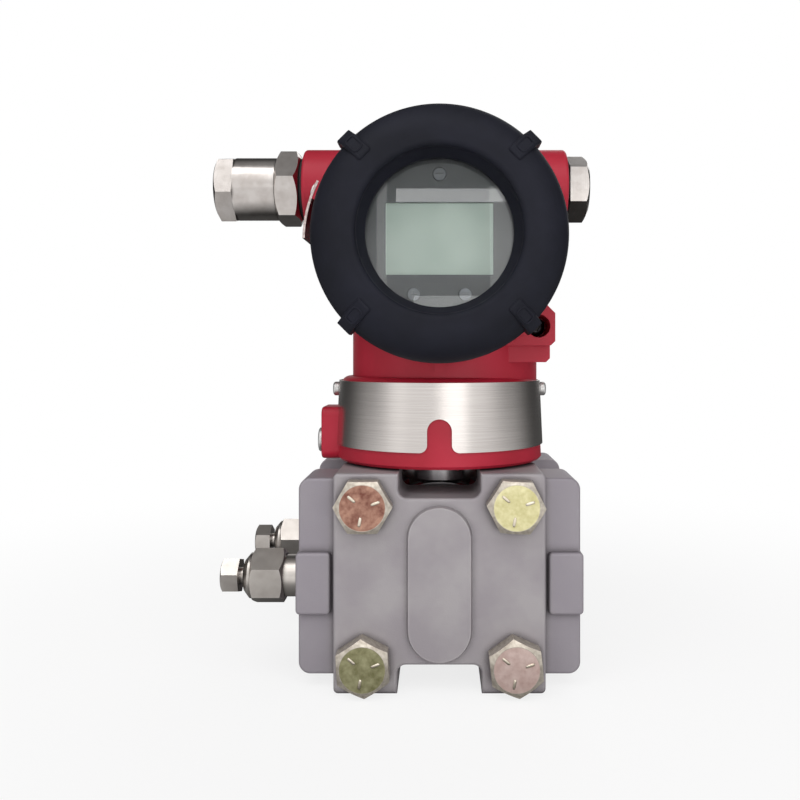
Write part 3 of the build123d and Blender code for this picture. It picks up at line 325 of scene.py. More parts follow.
@dataclass(frozen=True)
class BlastedCasting(Finish):
    """Bead-blasted investment casting in stainless steel: grey, almost matte, with a sandy grain."""

    light: str = "#A39EA0"
    dark: str = "#979195"
    boss: str = "#8E8890"
    # Pale edge tone: partly wear, partly a painted highlight
    edge: str = "#C2BCBE"
    # Tone of the painted shade in the inner corners
    corner_shade_tone: str = "#4E484C"
    roughness: float = 0.6
    metallic: float = 0.35
    cloud_mm: float = 16.0
    grain_mm: float = 0.5
    depth_mm: float = 0.06
    # Where the side bosses' tone starts and is full, from the flange's middle, and its share
    boss_mm: tuple[float, float] = (34.0, 40.0)
    boss_share: float = 0.7
    edge_mm: float = 0.8
    edge_share: float = 0.6
    # Reach and depth of the painted corner shade
    corner_shade_mm: float = 3.0
    corner_shade_share: float = 0.75

    def shade(self, tree: bpy.types.NodeTree, shader: bpy.types.Node, place: bpy.types.NodeSocket) -> None:
        """A violet cast on the side bosses, edges pale from wear and painted highlight, painted shade in
        corners.
        """
        add = partial(add_node, tree)
        clouds = self.grain(tree, place, self.cloud_mm, 3.0)
        skin = self.two_tone(tree, clouds, self.dark, self.light, (0.35, 0.65))
        low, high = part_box("front_flange")
        across = add("ShaderNodeSeparateXYZ", (place,)).outputs["X"]
        offset = add("ShaderNodeMath", (across, (low.x + high.x) / 2), operation="SUBTRACT")
        aside = add("ShaderNodeMath", (offset,), operation="ABSOLUTE")
        start, full = self.boss_mm
        step = (aside, start * MM, full * MM, 0.0, self.boss_share)
        outer = add("ShaderNodeMapRange", step, interpolation_type="SMOOTHSTEP")
        toned = add("ShaderNodeMix", {0: outer, 6: skin, 7: self.boss}, data_type="RGBA")
        # Pale edges: partly wear, partly a painted highlight
        edges = self.edges(tree, self.edge_mm, self.edge_share)
        worn_and_lit = add("ShaderNodeMix", {0: edges, 6: toned, 7: self.edge}, data_type="RGBA")
        # Painted shade: ambient occlusion darkens the colour in the inner corners
        corners = self.corners(tree, self.corner_shade_mm, self.corner_shade_share)
        feed(tree, shader, {
            "Base Color": add("ShaderNodeMix", {0: corners, 6: worn_and_lit, 7: self.corner_shade_tone}, data_type="RGBA"),
            "Metallic": self.metallic,
            "Roughness": self.roughness,
        })
        self.bump(tree, shader, self.grain(tree, place, self.grain_mm, 3.0), self.depth_mm, 0.7)


@dataclass(frozen=True)
class TurnedSteel(Finish):
    """Stainless or nickel-plated bar, turned on a lathe: bright, with fine tool marks round it."""

    axis: Axis = Axis.X
    light: str = "#CCC6C2"
    dark: str = "#BAB3AE"
    # Pale edge tone: partly wear, partly a painted highlight
    edge: str = "#E4DFDA"
    # Tone of the painted shade in the inner corners
    corner_shade_tone: str = "#2A2624"
    roughness: float = 0.18
    cloud_mm: float = 5.0
    mark_mm: float = 0.35
    mark_depth_mm: float = 0.012
    mark_length: float = 40.0
    edge_mm: float = 0.3
    edge_share: float = 0.7
    # Reach and depth of the painted corner shade
    corner_shade_mm: float = 1.2
    corner_shade_share: float = 0.8

    def shade(self, tree: bpy.types.NodeTree, shader: bpy.types.Node, place: bpy.types.NodeSocket) -> None:
        """Tool marks run round the axis, so they change quickly along it and slowly across."""
        stretch = [self.mark_length] * 3
        stretch[self.axis.value] = 1.0
        marks = self.grain(tree, place, self.mark_mm, 2.0, tuple(stretch))
        cloud = self.two_tone(tree, self.grain(tree, place, self.cloud_mm), self.dark, self.light)
        # Painted shade: ambient occlusion darkens the colour in the inner corners
        corners = self.corners(tree, self.corner_shade_mm, self.corner_shade_share)
        occluded = add_node(tree, "ShaderNodeMix", {0: corners, 6: cloud, 7: self.corner_shade_tone}, data_type="RGBA")
        # Pale edges: partly wear, partly a painted highlight
        edges = self.edges(tree, self.edge_mm, self.edge_share)
        worn_and_lit = add_node(tree, "ShaderNodeMix", {0: edges, 6: occluded, 7: self.edge}, data_type="RGBA")
        feed(tree, shader, {
            "Base Color": worn_and_lit,
            "Metallic": 1.0,
            "Roughness": self.roughness,
        })
        self.bump(tree, shader, marks, self.mark_depth_mm, 0.6)


@dataclass(frozen=True)
class BrushedBand(Finish):
    """Stainless strip brushed along its length: streaks run round the neck, highlights stand upright."""

    light: str = "#D0CAC6"
    dark: str = "#C4BEBA"
    roughness: float = 0.26
    streak_mm: float = 0.16
    streak_length: float = 140.0
    streak_depth_mm: float = 0.003

    def shade(self, tree: bpy.types.NodeTree, shader: bpy.types.Node, place: bpy.types.NodeSocket) -> None:
        """Streaks are far longer round the neck than they are high."""
        stretch = (self.streak_length, self.streak_length, 1.0)
        streaks = self.grain(tree, place, self.streak_mm, 2.0, stretch)
        feed(tree, shader, {
            "Base Color": self.two_tone(tree, streaks, self.dark, self.light),
            "Metallic": 1.0,
            "Roughness": self.roughness,
        })
        self.bump(tree, shader, streaks, self.streak_depth_mm, 0.4)


@dataclass(frozen=True)
class ZincPlate(Finish):
    """Yellow-passivated zinc on forged steel bolts: bright flanks, and a film on each head's flat
    face whose tint differs from bolt to bolt, from brown-red and olive to straw and pink."""

    flank: str = "#CFC7BA"
    flank_shade: str = "#A79D90"
    # Dark and light tint of each head: upper left, upper right, lower left, lower right
    tints: tuple[tuple[str, str], ...] = (
        ("#74463B", "#B78D79"),
        ("#C3BB86", "#E0D9AC"),
        ("#827F58", "#B6B28C"),
        ("#CDAEA5", "#E6CEC6"),
    )
    metallic: float = 0.65
    roughness: float = 0.3
    blotch_mm: float = 2.6
    flank_mm: float = 1.5
    grain_mm: float = 0.5
    depth_mm: float = 0.03
    # The film covers a disc of this radius with this soft rim, no further in from the head's front
    face_radius_mm: float = 7.5
    face_rim_mm: float = 0.15
    face_depth_mm: float = 0.5

    def shade(self, tree: bpy.types.NodeTree, shader: bpy.types.Node, place: bpy.types.NodeSocket) -> None:
        """Film on the heads' faces, plain zinc elsewhere."""
        clouds = self.grain(tree, place, self.flank_mm, 3.0)
        mixed = {
            0: self.faces(tree, place),
            6: self.two_tone(tree, clouds, self.flank_shade, self.flank),
            7: self.film(tree, place),
        }
        feed(tree, shader, {
            "Base Color": add_node(tree, "ShaderNodeMix", mixed, data_type="RGBA"),
            "Metallic": self.metallic,
            "Roughness": self.roughness,
        })
        self.bump(tree, shader, self.grain(tree, place, self.grain_mm, 3.0), self.depth_mm, 0.6)

    def offsets(self, tree: bpy.types.NodeTree, place: bpy.types.NodeSocket) -> list[bpy.types.Node]:
        """Measure across and up from the flange's middle.

        Args:
            tree: Node tree that takes the nodes.
            place: Coordinates in metres.

        Returns:
            A node for X and one for Z, in metres.
        """
        low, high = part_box("front_flange")
        parts = add_node(tree, "ShaderNodeSeparateXYZ", (place,)).outputs
        sides = ((parts["X"], (low.x + high.x) / 2), (parts["Z"], (low.z + high.z) / 2))
        return [add_node(tree, "ShaderNodeMath", side, operation="SUBTRACT") for side in sides]

    def film(self, tree: bpy.types.NodeTree, place: bpy.types.NodeSocket) -> bpy.types.Node:
        """Blotched tint of each head, by quadrant round the flange's middle.

        Args:
            tree: Node tree that takes the nodes.
            place: Coordinates in metres.

        Returns:
            The node with the film's colour.
        """
        add = partial(add_node, tree)
        right, above = (
            add("ShaderNodeMath", (offset, 0.0), operation="GREATER_THAN")
            for offset in self.offsets(tree, place)
        )
        blotch = self.grain(tree, place, self.blotch_mm, 4.0)
        tints = [self.two_tone(tree, blotch, dark, light) for dark, light in self.tints]
        upper = add("ShaderNodeMix", {0: right, 6: tints[0], 7: tints[1]}, data_type="RGBA")
        lower = add("ShaderNodeMix", {0: right, 6: tints[2], 7: tints[3]}, data_type="RGBA")
        return add("ShaderNodeMix", {0: above, 6: lower, 7: upper}, data_type="RGBA")

    def faces(self, tree: bpy.types.NodeTree, place: bpy.types.NodeSocket) -> bpy.types.Node:
        """Mask of the heads' flat faces, by the distance from each bolt's axis.

        Args:
            tree: Node tree that takes the nodes.
            place: Coordinates in metres.

        Returns:
            The mask's node.
        """
        add = partial(add_node, tree)
        squares = []
        for offset, spacing in zip(self.offsets(tree, place), BOLT_SPACING):
            aside = add("ShaderNodeMath", (offset,), operation="ABSOLUTE")
            off = add("ShaderNodeMath", (aside, spacing / 2 * MM), operation="SUBTRACT")
            squares.append(add("ShaderNodeMath", (off, off), operation="MULTIPLY"))
        total = add("ShaderNodeMath", squares, operation="ADD")
        reach = add("ShaderNodeMath", (total,), operation="SQRT")
        outside = (self.face_radius_mm + self.face_rim_mm) * MM
        inside = (self.face_radius_mm - self.face_rim_mm) * MM
        disc = add("ShaderNodeMapRange", (reach, outside, inside), interpolation_type="SMOOTHSTEP")
        low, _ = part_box("flange_bolts")
        depth = add("ShaderNodeSeparateXYZ", (place,)).outputs["Y"]
        front = add("ShaderNodeMath", (depth, low.y + self.face_depth_mm * MM), operation="LESS_THAN")
        return add("ShaderNodeMath", (disc, front), operation="MULTIPLY")


@dataclass(frozen=True)
class CutPlate(Finish):
    """Thin aluminium plate: black faces are painted shade of the gap behind, bright sheared edges partly a
    painted highlight.
    """

    # Painted shade: black stands in for the shadowed gap behind the plate
    gap_shade: str = "#0D0D10"
    # Uncoated metal of the cut edges, made lighter as a painted highlight
    bare_lit: str = "#E3D3CF"
    scuff: str = "#B9A6A2"
    roughness: float = 0.4
    scuff_mm: float = 1.2
    depth_mm: float = 0.01

    def shade(self, tree: bpy.types.NodeTree, shader: bpy.types.Node, place: bpy.types.NodeSocket) -> None:
        """The sheared edges that show face along Y take the bright tone; all else is black painted shade."""
        add = partial(add_node, tree)
        facing = add("ShaderNodeNewGeometry").outputs["Normal"]
        turned = add("ShaderNodeSeparateXYZ", (facing,)).outputs["Y"]
        along = add("ShaderNodeMath", (turned,), operation="ABSOLUTE")
        cut = add("ShaderNodeMapRange", (along, 0.6, 0.8), interpolation_type="SMOOTHSTEP")
        scuffs = self.grain(tree, place, self.scuff_mm)
        dulled = add("ShaderNodeMapRange", (scuffs, 0.3, 0.75), interpolation_type="SMOOTHSTEP")
        metal = add("ShaderNodeMix", {0: dulled, 6: self.bare_lit, 7: self.scuff}, data_type="RGBA")
        feed(tree, shader, {
            "Base Color": add("ShaderNodeMix", {0: cut, 6: self.gap_shade, 7: metal}, data_type="RGBA"),
            "Roughness": self.roughness,
        })
        self.bump(tree, shader, scuffs, self.depth_mm, 0.4)


@dataclass(frozen=True)
class Rubber(Finish):
    """Moulded nitrile rubber: near black, dull, slightly dusty."""

    colour: str = "#131314"
    dust: str = "#1D1D1E"
    roughness: float = 0.7
    patch_mm: float = 2.5
    grain_mm: float = 0.3
    depth_mm: float = 0.01

    def shade(self, tree: bpy.types.NodeTree, shader: bpy.types.Node, place: bpy.types.NodeSocket) -> None:
        """Dust settles in patches."""
        patch = self.grain(tree, place, self.patch_mm)
        feed(tree, shader, {
            "Base Color": self.two_tone(tree, patch, self.colour, self.dust, (0.4, 0.7)),
            "Roughness": self.roughness,
        })
        self.bump(tree, shader, self.grain(tree, place, self.grain_mm, 1.0), self.depth_mm, 0.4)


@dataclass(frozen=True)
class Glass(Finish):
    """Toughened float glass, polished on both faces: clear, with a trace of waviness."""

    tint: str = "#F2F6F4"
    wave_mm: float = 30.0
    wave_depth_mm: float = 0.004

    def shade(self, tree: bpy.types.NodeTree, shader: bpy.types.Node, place: bpy.types.NodeSocket) -> None:
        """Clear, with the usual index of float glass."""
        feed(tree, shader, {
            "Base Color": self.tint,
            "Transmission Weight": 1.0,
            "Roughness": 0.0,
            "IOR": 1.5,
        })
        self.bump(tree, shader, self.grain(tree, place, self.wave_mm, 0.0), self.wave_depth_mm, 0.2)


@dataclass(frozen=True)
class LiquidCrystal(Finish):
    """Reflective liquid-crystal glass, unlit: pale grey-green with a silvery depth."""

    light: str = "#CFDCD2"
    dark: str = "#B8C9BE"
    roughness: float = 0.3
    drift_mm: float = 16.0
    sparkle_mm: float = 0.25
    sparkle_depth_mm: float = 0.004

    def shade(self, tree: bpy.types.NodeTree, shader: bpy.types.Node, place: bpy.types.NodeSocket) -> None:
        """The reflector's fine sparkle over a soft drift of tone, under a polished sheet."""
        drift = self.grain(tree, place, self.drift_mm, 1.0)
        feed(tree, shader, {
            "Base Color": self.two_tone(tree, drift, self.dark, self.light),
            "Roughness": self.roughness,
            "Coat Weight": 0.6,
            "Coat Roughness": 0.05,
        })
        self.bump(tree, shader, self.grain(tree, place, self.sparkle_mm, 1.0), self.sparkle_depth_mm, 0.3)


@dataclass(frozen=True)
class CircuitLaminate(Finish):
    """Green solder resist on glass-fibre laminate, over faint copper tracks."""

    resist: str = "#14502C"
    track: str = "#1E6A3A"
    roughness: float = 0.35
    track_mm: float = 2.2

    def shade(self, tree: bpy.types.NodeTree, shader: bpy.types.Node, place: bpy.types.NodeSocket) -> None:
        """Tracks show as square-edged paler patches."""
        inputs = {"Vector": place, "Scale": 1 / (self.track_mm * MM)}
        tracks = add_node(tree, "ShaderNodeTexVoronoi", inputs, distance="CHEBYCHEV")
        feed(tree, shader, {
            "Base Color": self.two_tone(tree, tracks, self.resist, self.track, (0.45, 0.5)),
            "Roughness": self.roughness,
        })


# Painted and moulded: the red head, its near-black covers, and what stands behind the glass
RED_PAINT = PowderCoat("red_powder_coat")
COVER_PAINT = MattePaint("cover_matte_coat")
# Side plate: its black faces are painted shade, its bright cut edges partly a painted highlight
SIDE_PLATE = CutPlate("plate_shade_and_lit_edges")
DISPLAY_PLASTIC = MattePaint(
    "display_grey_plastic", "#3B3C41", "#434449", roughness=0.55, gloss=0.5, grain_mm=0.3, depth_mm=0.02
)
TERMINAL_PLASTIC = MattePaint(
    "terminal_black_plastic", "#1A1A1C", "#202022", roughness=0.45, grain_mm=0.4, depth_mm=0.02
)
RUBBER = Rubber("black_nitrile_rubber")
LAMINATE = CircuitLaminate("green_circuit_laminate")

# Cast and plated: sandy grey flanges, and bolts whose heads differ in tint
CASTING = BlastedCasting("blasted_stainless_casting")
ZINC = ZincPlate("yellow_zinc_plate")

# Turned and brushed: the gland and plug shine most, the cell and the small screws are duller
GLAND_STEEL = TurnedSteel("gland_turned_steel")
BAND_STEEL = BrushedBand("brushed_band_steel")
CAPSULE_STEEL = TurnedSteel(
    "sensor_turned_steel", Axis.Z, "#AAA7A8", "#8C898B", "#C4C1C2", roughness=0.26, mark_mm=0.4
)
VENT_STEEL = TurnedSteel("vent_turned_steel", Axis.X, "#CBC5BF", "#B9B2AC", roughness=0.28, mark_mm=0.3)
SCREW_STEEL = TurnedSteel("screw_steel", Axis.Y, "#B5B1AE", "#8E8A88", roughness=0.3, mark_mm=0.3)
DISPLAY_SCREW = TurnedSteel(
    "black_oxide_screw", Axis.Y, "#5E5F64", "#4A4B50", "#8C8D92", roughness=0.28, mark_mm=0.3
)
LOCK_SCREW = TurnedSteel(
    "black_oxide_lock_screw", Axis.Y, "#3A3A3D", "#2A2A2C", "#5A5A5E", roughness=0.35, mark_mm=0.3
)
MARK_ZINC = TurnedSteel(
    "worn_zinc_marks", Axis.Y, "#EFE6D6", "#D8CBB6", "#F4EEE2", roughness=0.4, mark_mm=0.3
)

# The window, and the panel behind it
WINDOW_GLASS = Glass("window_float_glass")
PANEL = LiquidCrystal("unlit_liquid_crystal")

NODE_FINISHES: dict[str, Finish] = {
    "housing_body": RED_PAINT,
    "front_cover": COVER_PAINT,
    "rear_cover": COVER_PAINT,
    "window_glass": WINDOW_GLASS,
    "window_retainer": TERMINAL_PLASTIC,
    "display_face": DISPLAY_PLASTIC,
    "display_housing": DISPLAY_PLASTIC,
    "lcd_panel": PANEL,
    "display_screws": DISPLAY_SCREW,
    "circuit_board": LAMINATE,
    "terminal_block": TERMINAL_PLASTIC,
    "terminal_screws": SCREW_STEEL,
    "front_cover_seal": RUBBER,
    "rear_cover_seal": RUBBER,
    "gland_o_ring": RUBBER,
    "plug_o_ring": RUBBER,
    "gland_seal": RUBBER,
    "neck_seal": RUBBER,
    "front_gasket": RUBBER,
    "rear_gasket": RUBBER,
    "gland_body": GLAND_STEEL,
    "gland_nut": GLAND_STEEL,
    "blanking_plug": GLAND_STEEL,
    "neck_band": BAND_STEEL,
    "band_screws": SCREW_STEEL,
    "rotation_lock_screw": SCREW_STEEL,
    "cover_lock_screw": LOCK_SCREW,
    "side_nameplate": SIDE_PLATE,
    "nameplate_rivets": SCREW_STEEL,
    "sensor_module": CAPSULE_STEEL,
    "front_diaphragm": VENT_STEEL,
    "rear_diaphragm": VENT_STEEL,
    "front_flange": CASTING,
    "rear_flange": CASTING,
    "flange_bolts": ZINC,
    "flange_nuts": ZINC,
    "front_vent_body": VENT_STEEL,
    "rear_vent_body": VENT_STEEL,
    "front_vent_screw": VENT_STEEL,
    "rear_vent_screw": VENT_STEEL,
}


@dataclass
class PackedPieces:
    """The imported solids, which keep their shape and take their finishes here."""

    finishes: dict[str, Finish]

    def dress(self) -> None:
        """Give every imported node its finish."""
        for name, obj in frame["nodes"].items():
            finish = self.finishes[name]
            obj.data.materials.clear()
            obj.data.materials.append(finish.material())
            log.info("%s: %s", name, finish.name)


@dataclass
class FineDetail:
    """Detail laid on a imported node: it rides on the node's body and takes its finish or one of its own."""

    name: str
    node: str
    finish: Optional[Finish] = None

    def build(self) -> None:
        """Make the mesh, dress it and let it ride."""
        shape = bmesh.new()
        self.model(shape)
        bmesh.ops.recalc_face_normals(shape, faces=shape.faces)
        for face in shape.faces:
            face.smooth = True
        mesh = bpy.data.meshes.new(self.name)
        shape.to_mesh(mesh)
        shape.free()
        piece = bpy.data.objects.new(self.name, mesh)
        bpy.context.scene.collection.objects.link(piece)
        self.dress(piece)
        log.info("%s: %d faces on %s", self.name, len(mesh.polygons), self.node)

    def dress(self, piece: bpy.types.Object) -> None:
        """Give the piece its finish, and its node's slot and body.

        Args:
            piece: The new object.
        """
        piece.data.materials.append((self.finish or NODE_FINISHES[self.node]).material())
        record = frame["record"]
        owners = {node: body for body, nodes in record["behaviour"]["bodies"].items() for node in nodes}
        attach(piece, owners[self.node])

    def model(self, shape: bmesh.types.BMesh) -> None:
        """Add the mesh.

        Args:
            shape: Mesh that takes it, in metres and in the row frame.
        """
        raise NotImplementedError


def sweep(shape: bmesh.types.BMesh, rings: Sequence[Sequence[Vector]], closed: bool) -> None:
    """Skin a row of equal rings.

    Args:
        shape: Mesh that takes the skin.
        rings: Points of each section, in order round it.
        closed: Whether the last ring joins the first.
    """
    made = [[shape.verts.new(point) for point in ring] for ring in rings]
    sides = len(made[0])
    for i in range(len(made) if closed else len(made) - 1):
        here, there = made[i], made[(i + 1) % len(made)]
        for j in range(sides):
            k = (j + 1) % sides
            shape.faces.new((here[j], there[j], there[k], here[k]))
    if not closed:
        shape.faces.new(made[0][::-1])
        shape.faces.new(made[-1])


def raised_line(
    shape: bmesh.types.BMesh,
    path: Sequence[tuple[float, float]],
    width: float,
    height: float,
    place: Matrix,
    closed: bool = False,
) -> None:
    """Raise a rounded line along a path on a flat face, as a die or a mould leaves it.

    Args:
        shape: Mesh that takes the line.
        path: Points on the face.
        width: Width of the line.
        height: How far it stands out.
        place: Turns face coordinates, with Z outwards, into the row frame.
        closed: Whether the path closes on itself. An open line narrows at its ends.
    """
    points = [Vector((u, v, 0)) for u, v in path]
    last = len(points) - 1
    rings = []
    for i, point in enumerate(points):
        ahead = points[(i + 1) % len(points)] if closed or i < last else point
        behind = points[i - 1] if closed or i > 0 else point
        tangent = (ahead - behind).normalized()
        side = Vector((-tangent.y, tangent.x, 0))
        narrow = 1.0 if closed or 0 < i < last else LINE_END
        ring = []
        for u, v in LINE_SECTION:
            lift = v * height * (narrow if v > 0 else 1.0)
            ring.append(place @ (point + side * u * width * narrow + Vector((0, 0, lift))))
        rings.append(ring)
    sweep(shape, rings, closed)


@dataclass(frozen=True)
class Thread:
    """Helical ridge of one thread: outwards on a shaft, and inwards in a hole, with a negative depth."""

    radius: float
    pitch: float
    length: float
    depth: float
    steps: int = 40
    # The ridge's half width at its crest and foot, in pitches, and how deep its foot is sunk, in depths
    crest: float = 0.08
    foot: float = 0.42
    sunk: float = 0.15

    def add(self, shape: bmesh.types.BMesh, start: Vector, along: Vector) -> None:
        """Wind the ridge.

        Args:
            shape: Mesh that takes it.
            start: Middle of the thread's first turn.
            along: Way that it runs.
        """
        across = along.orthogonal().normalized()
        other = along.cross(across)
        sink = -self.sunk * self.depth
        section = ((-self.foot, sink), (-self.crest, self.depth), (self.crest, self.depth), (self.foot, sink))
        rings = []
        for i in range(int(self.length / self.pitch * self.steps) + 1):
            angle = 2 * math.pi * i / self.steps
            out = across * math.cos(angle) + other * math.sin(angle)
            run = self.pitch * i / self.steps
            rings.append([
                start + along * (run + u * self.pitch) + out * (self.radius + v) for u, v in section
            ])
        sweep(shape, rings, False)


@dataclass
class StrengthMarks(FineDetail):
    """Three short raised bars on each bolt head, as forged heads of this strength carry."""

    count: int = 3
    width: float = 1.1 * MM
    height: float = 0.25 * MM
    inner: float = 3.0 * MM
    outer: float = 6.2 * MM
    turn: float = 20.0

    def model(self, shape: bmesh.types.BMesh) -> None:
        """Lay the bars on each of the four heads."""
        low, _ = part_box("flange_bolts")
        upright = Matrix.Rotation(math.radians(90), 4, "X")
        half = self.width / 2
        stations = (self.inner, self.inner + half, self.outer - half, self.outer)
        for centre in bolt_centres():
            place = Matrix.Translation((centre.x, low.y, centre.z)) @ upright
            for k in range(self.count):
                angle = math.radians(self.turn + 360 / self.count * k)
                path = [(math.cos(angle) * r, math.sin(angle) * r) for r in stations]
                raised_line(shape, path, self.width, self.height, place)


@dataclass
class BoltThreads(FineDetail):
    """Thread on the four bolt ends, behind the nuts."""

    thread: Thread = Thread(radius=5.0 * MM, pitch=1.5 * MM, length=2.3 * MM, depth=0.3 * MM)
    tuck: float = 0.3 * MM

    def model(self, shape: bmesh.types.BMesh) -> None:
        """Wind each end's thread from just inside the nut outwards, and stop short of the tip."""
        _, nut_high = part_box("flange_nuts")
        for centre in bolt_centres():
            start = Vector((centre.x, nut_high.y - self.tuck, centre.z))
            self.thread.add(shape, start, Vector((0, 1, 0)))


@dataclass
class PortThreads(FineDetail):
    """Pipe thread in a process port, and the thread of the two tapped holes beside it."""

    pipe: Thread = Thread(radius=6.24 * MM, pitch=1.41 * MM, length=11 * MM, depth=-0.45 * MM)
    tapped: Thread = Thread(radius=4.25 * MM, pitch=1.5 * MM, length=11 * MM, depth=-0.45 * MM)
    port_offset: float = 27.0 * MM
    tap_spacing: float = 41.3 * MM
    # How far in the pipe thread starts from the raised port pad, and the taps' from X = 0
    pipe_inset: float = 1.0 * MM
    tap_inset: float = 0.8 * MM

    def model(self, shape: bmesh.types.BMesh) -> None:
        """Wind all three from the port's face inwards."""
        _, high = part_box(self.node)
        port_y = -self.port_offset if self.node.startswith("front") else self.port_offset
        inwards = Vector((-1, 0, 0))
        self.pipe.add(shape, Vector((high.x - self.pipe_inset, port_y, 0)), inwards)
        for up in (-0.5, 0.5):
            self.tapped.add(shape, Vector((-self.tap_inset, port_y, up * self.tap_spacing)), inwards)


@dataclass
class LugMarks(FineDetail):
    """Raised rounded rectangle on the sloping face of each grip lug of a cover."""

    width: float = 3.4 * MM
    length: float = 5.2 * MM
    corner: float = 1.1 * MM
    corner_steps: int = 4
    line: float = 0.75 * MM
    height: float = 0.3 * MM
    # Where the lugs stand round the cover's axis, in degrees, and how far from it their marks are
    lugs: tuple[float, ...] = (45, 135, 225, 315)
    reach: float = 37.6 * MM
    # How far in front of the cover's middle the search for each lug's face starts
    stand_off: float = 200 * MM

    def outline(self) -> list[tuple[float, float]]:
        """Points of the rounded rectangle, in order."""
        points = []
        half_w, half_l = self.width / 2 - self.corner, self.length / 2 - self.corner
        for k, (u, v) in enumerate(((1, 1), (-1, 1), (-1, -1), (1, -1))):
            for step in range(self.corner_steps + 1):
                angle = math.radians(90 * (k + step / self.corner_steps))
                bend_u, bend_v = self.corner * math.cos(angle), self.corner * math.sin(angle)
                points.append((u * half_w + bend_u, v * half_l + bend_v))
        return points

    def model(self, shape: bmesh.types.BMesh) -> None:
        """Find each lug's face from outside, and lay the mark on it."""
        cover = frame["nodes"][self.node]
        tree = BVHTree.FromObject(cover, bpy.context.evaluated_depsgraph_get())
        low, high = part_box(self.node)
        middle = (low + high) / 2
        towards = 1 if self.node.startswith("front") else -1
        for lug in self.lugs:
            angle = math.radians(lug)
            out = Vector((math.cos(angle), 0, math.sin(angle)))
            start = Vector((middle.x, -towards * self.stand_off, middle.z)) + out * self.reach
            spot, normal, _, _ = tree.ray_cast(start, Vector((0, towards, 0)))
            across = out.cross(normal).normalized()
            up = normal.cross(across)
            place = Matrix((across, up, normal)).transposed().to_4x4()
            place.translation = spot
            raised_line(shape, self.outline(), self.line, self.height, place, True)


def bolt_centres() -> list[Vector]:
    """Axis of each flange bolt, as a point with the right X and Z."""
    low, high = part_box("front_flange")
    middle = (low + high) / 2
    return [
        Vector((middle.x + u * BOLT_SPACING[0] / 2 * MM, 0, middle.z + v * BOLT_SPACING[1] / 2 * MM))
        for u in (-1, 1) for v in (-1, 1)
    ]


@dataclass(frozen=True)
class Softbox:
    """Rectangular lamp with an even face. Lengths are in metres.

    Attributes:
        name: The lamp's name.
        place: Where it stands, from the neck's foot.
        target_height: Height of the point on the neck's axis that it faces, or none to face along +Y.
        size: Width and height of its face.
        radiance: How bright its face is, where 1 is white.
        mirrored: Whether polished surfaces show its reflection.
    """

    name: str
    place: tuple[float, float, float]
    target_height: Optional[float]
    size: tuple[float, float]
    radiance: float
    mirrored: bool = True

    def build(self, foot: Vector) -> None:
        """Add the lamp.

        Args:
            foot: The neck's foot, in the row frame.
        """
        width, height = self.size
        lamp = bpy.data.lights.new(self.name, "AREA")
        lamp.shape = "RECTANGLE"
        lamp.size, lamp.size_y = width, height
        lamp.energy = self.radiance * math.pi * width * height
        obj = bpy.data.objects.new(self.name, lamp)
        obj.location = foot + Vector(self.place)
        aim = Vector((0, 1, 0))
        if self.target_height is not None:
            aim = Vector((0, 0, self.target_height)) - Vector(self.place)
        obj.rotation_euler = aim.to_track_quat("-Z", "Y").to_euler()
        obj.visible_camera = False
        obj.visible_glossy = self.mirrored
        bpy.context.scene.collection.objects.link(obj)


# The key, front and top lamps model the head, and the left card and the two behind shape its sides
# and back. The three window strips show in the glass. The two fills lift the flanges and the rear
# without a reflection.
SOFTBOXES = (
    Softbox("key_softbox", (-0.45, -0.42, 1.05), 0.1, (0.5, 0.5), 2.3),
    Softbox("front_softbox", (0.3, -1.0, 0.12), 0.08, (0.46, 0.5), 1.08),
    Softbox("left_card", (-0.72, -0.7, 0.1), 0.08, (0.34, 0.5), 0.22),
    Softbox("top_softbox", (0.12, -0.74, 0.86), 0.12, (0.8, 0.5), 1.1),
    Softbox("back_softbox", (0.35, 0.85, 0.75), 0.1, (0.6, 0.5), 1.2),
    Softbox("rear_card", (0.35, 0.98, 0.36), 0.1, (0.6, 0.34), 1.2),
    Softbox("window_pane", (-0.078, -0.9, 0.26), None, (0.014, 0.2), 1.0),
    Softbox("window_head", (0.0245, -0.9, 0.326), None, (0.167, 0.018), 3.0),
    Softbox("window_sill", (0.03, -0.9, 0.165), None, (0.13, 0.05), 1.8),
    Softbox("low_fill", (0.16, -0.8, 0.05), 0.1, (0.7, 0.1), 5.0, mirrored=False),
    Softbox("back_fill", (0.1, 1.1, 0.35), 0.1, (1.2, 0.6), 1.2, mirrored=False),
)


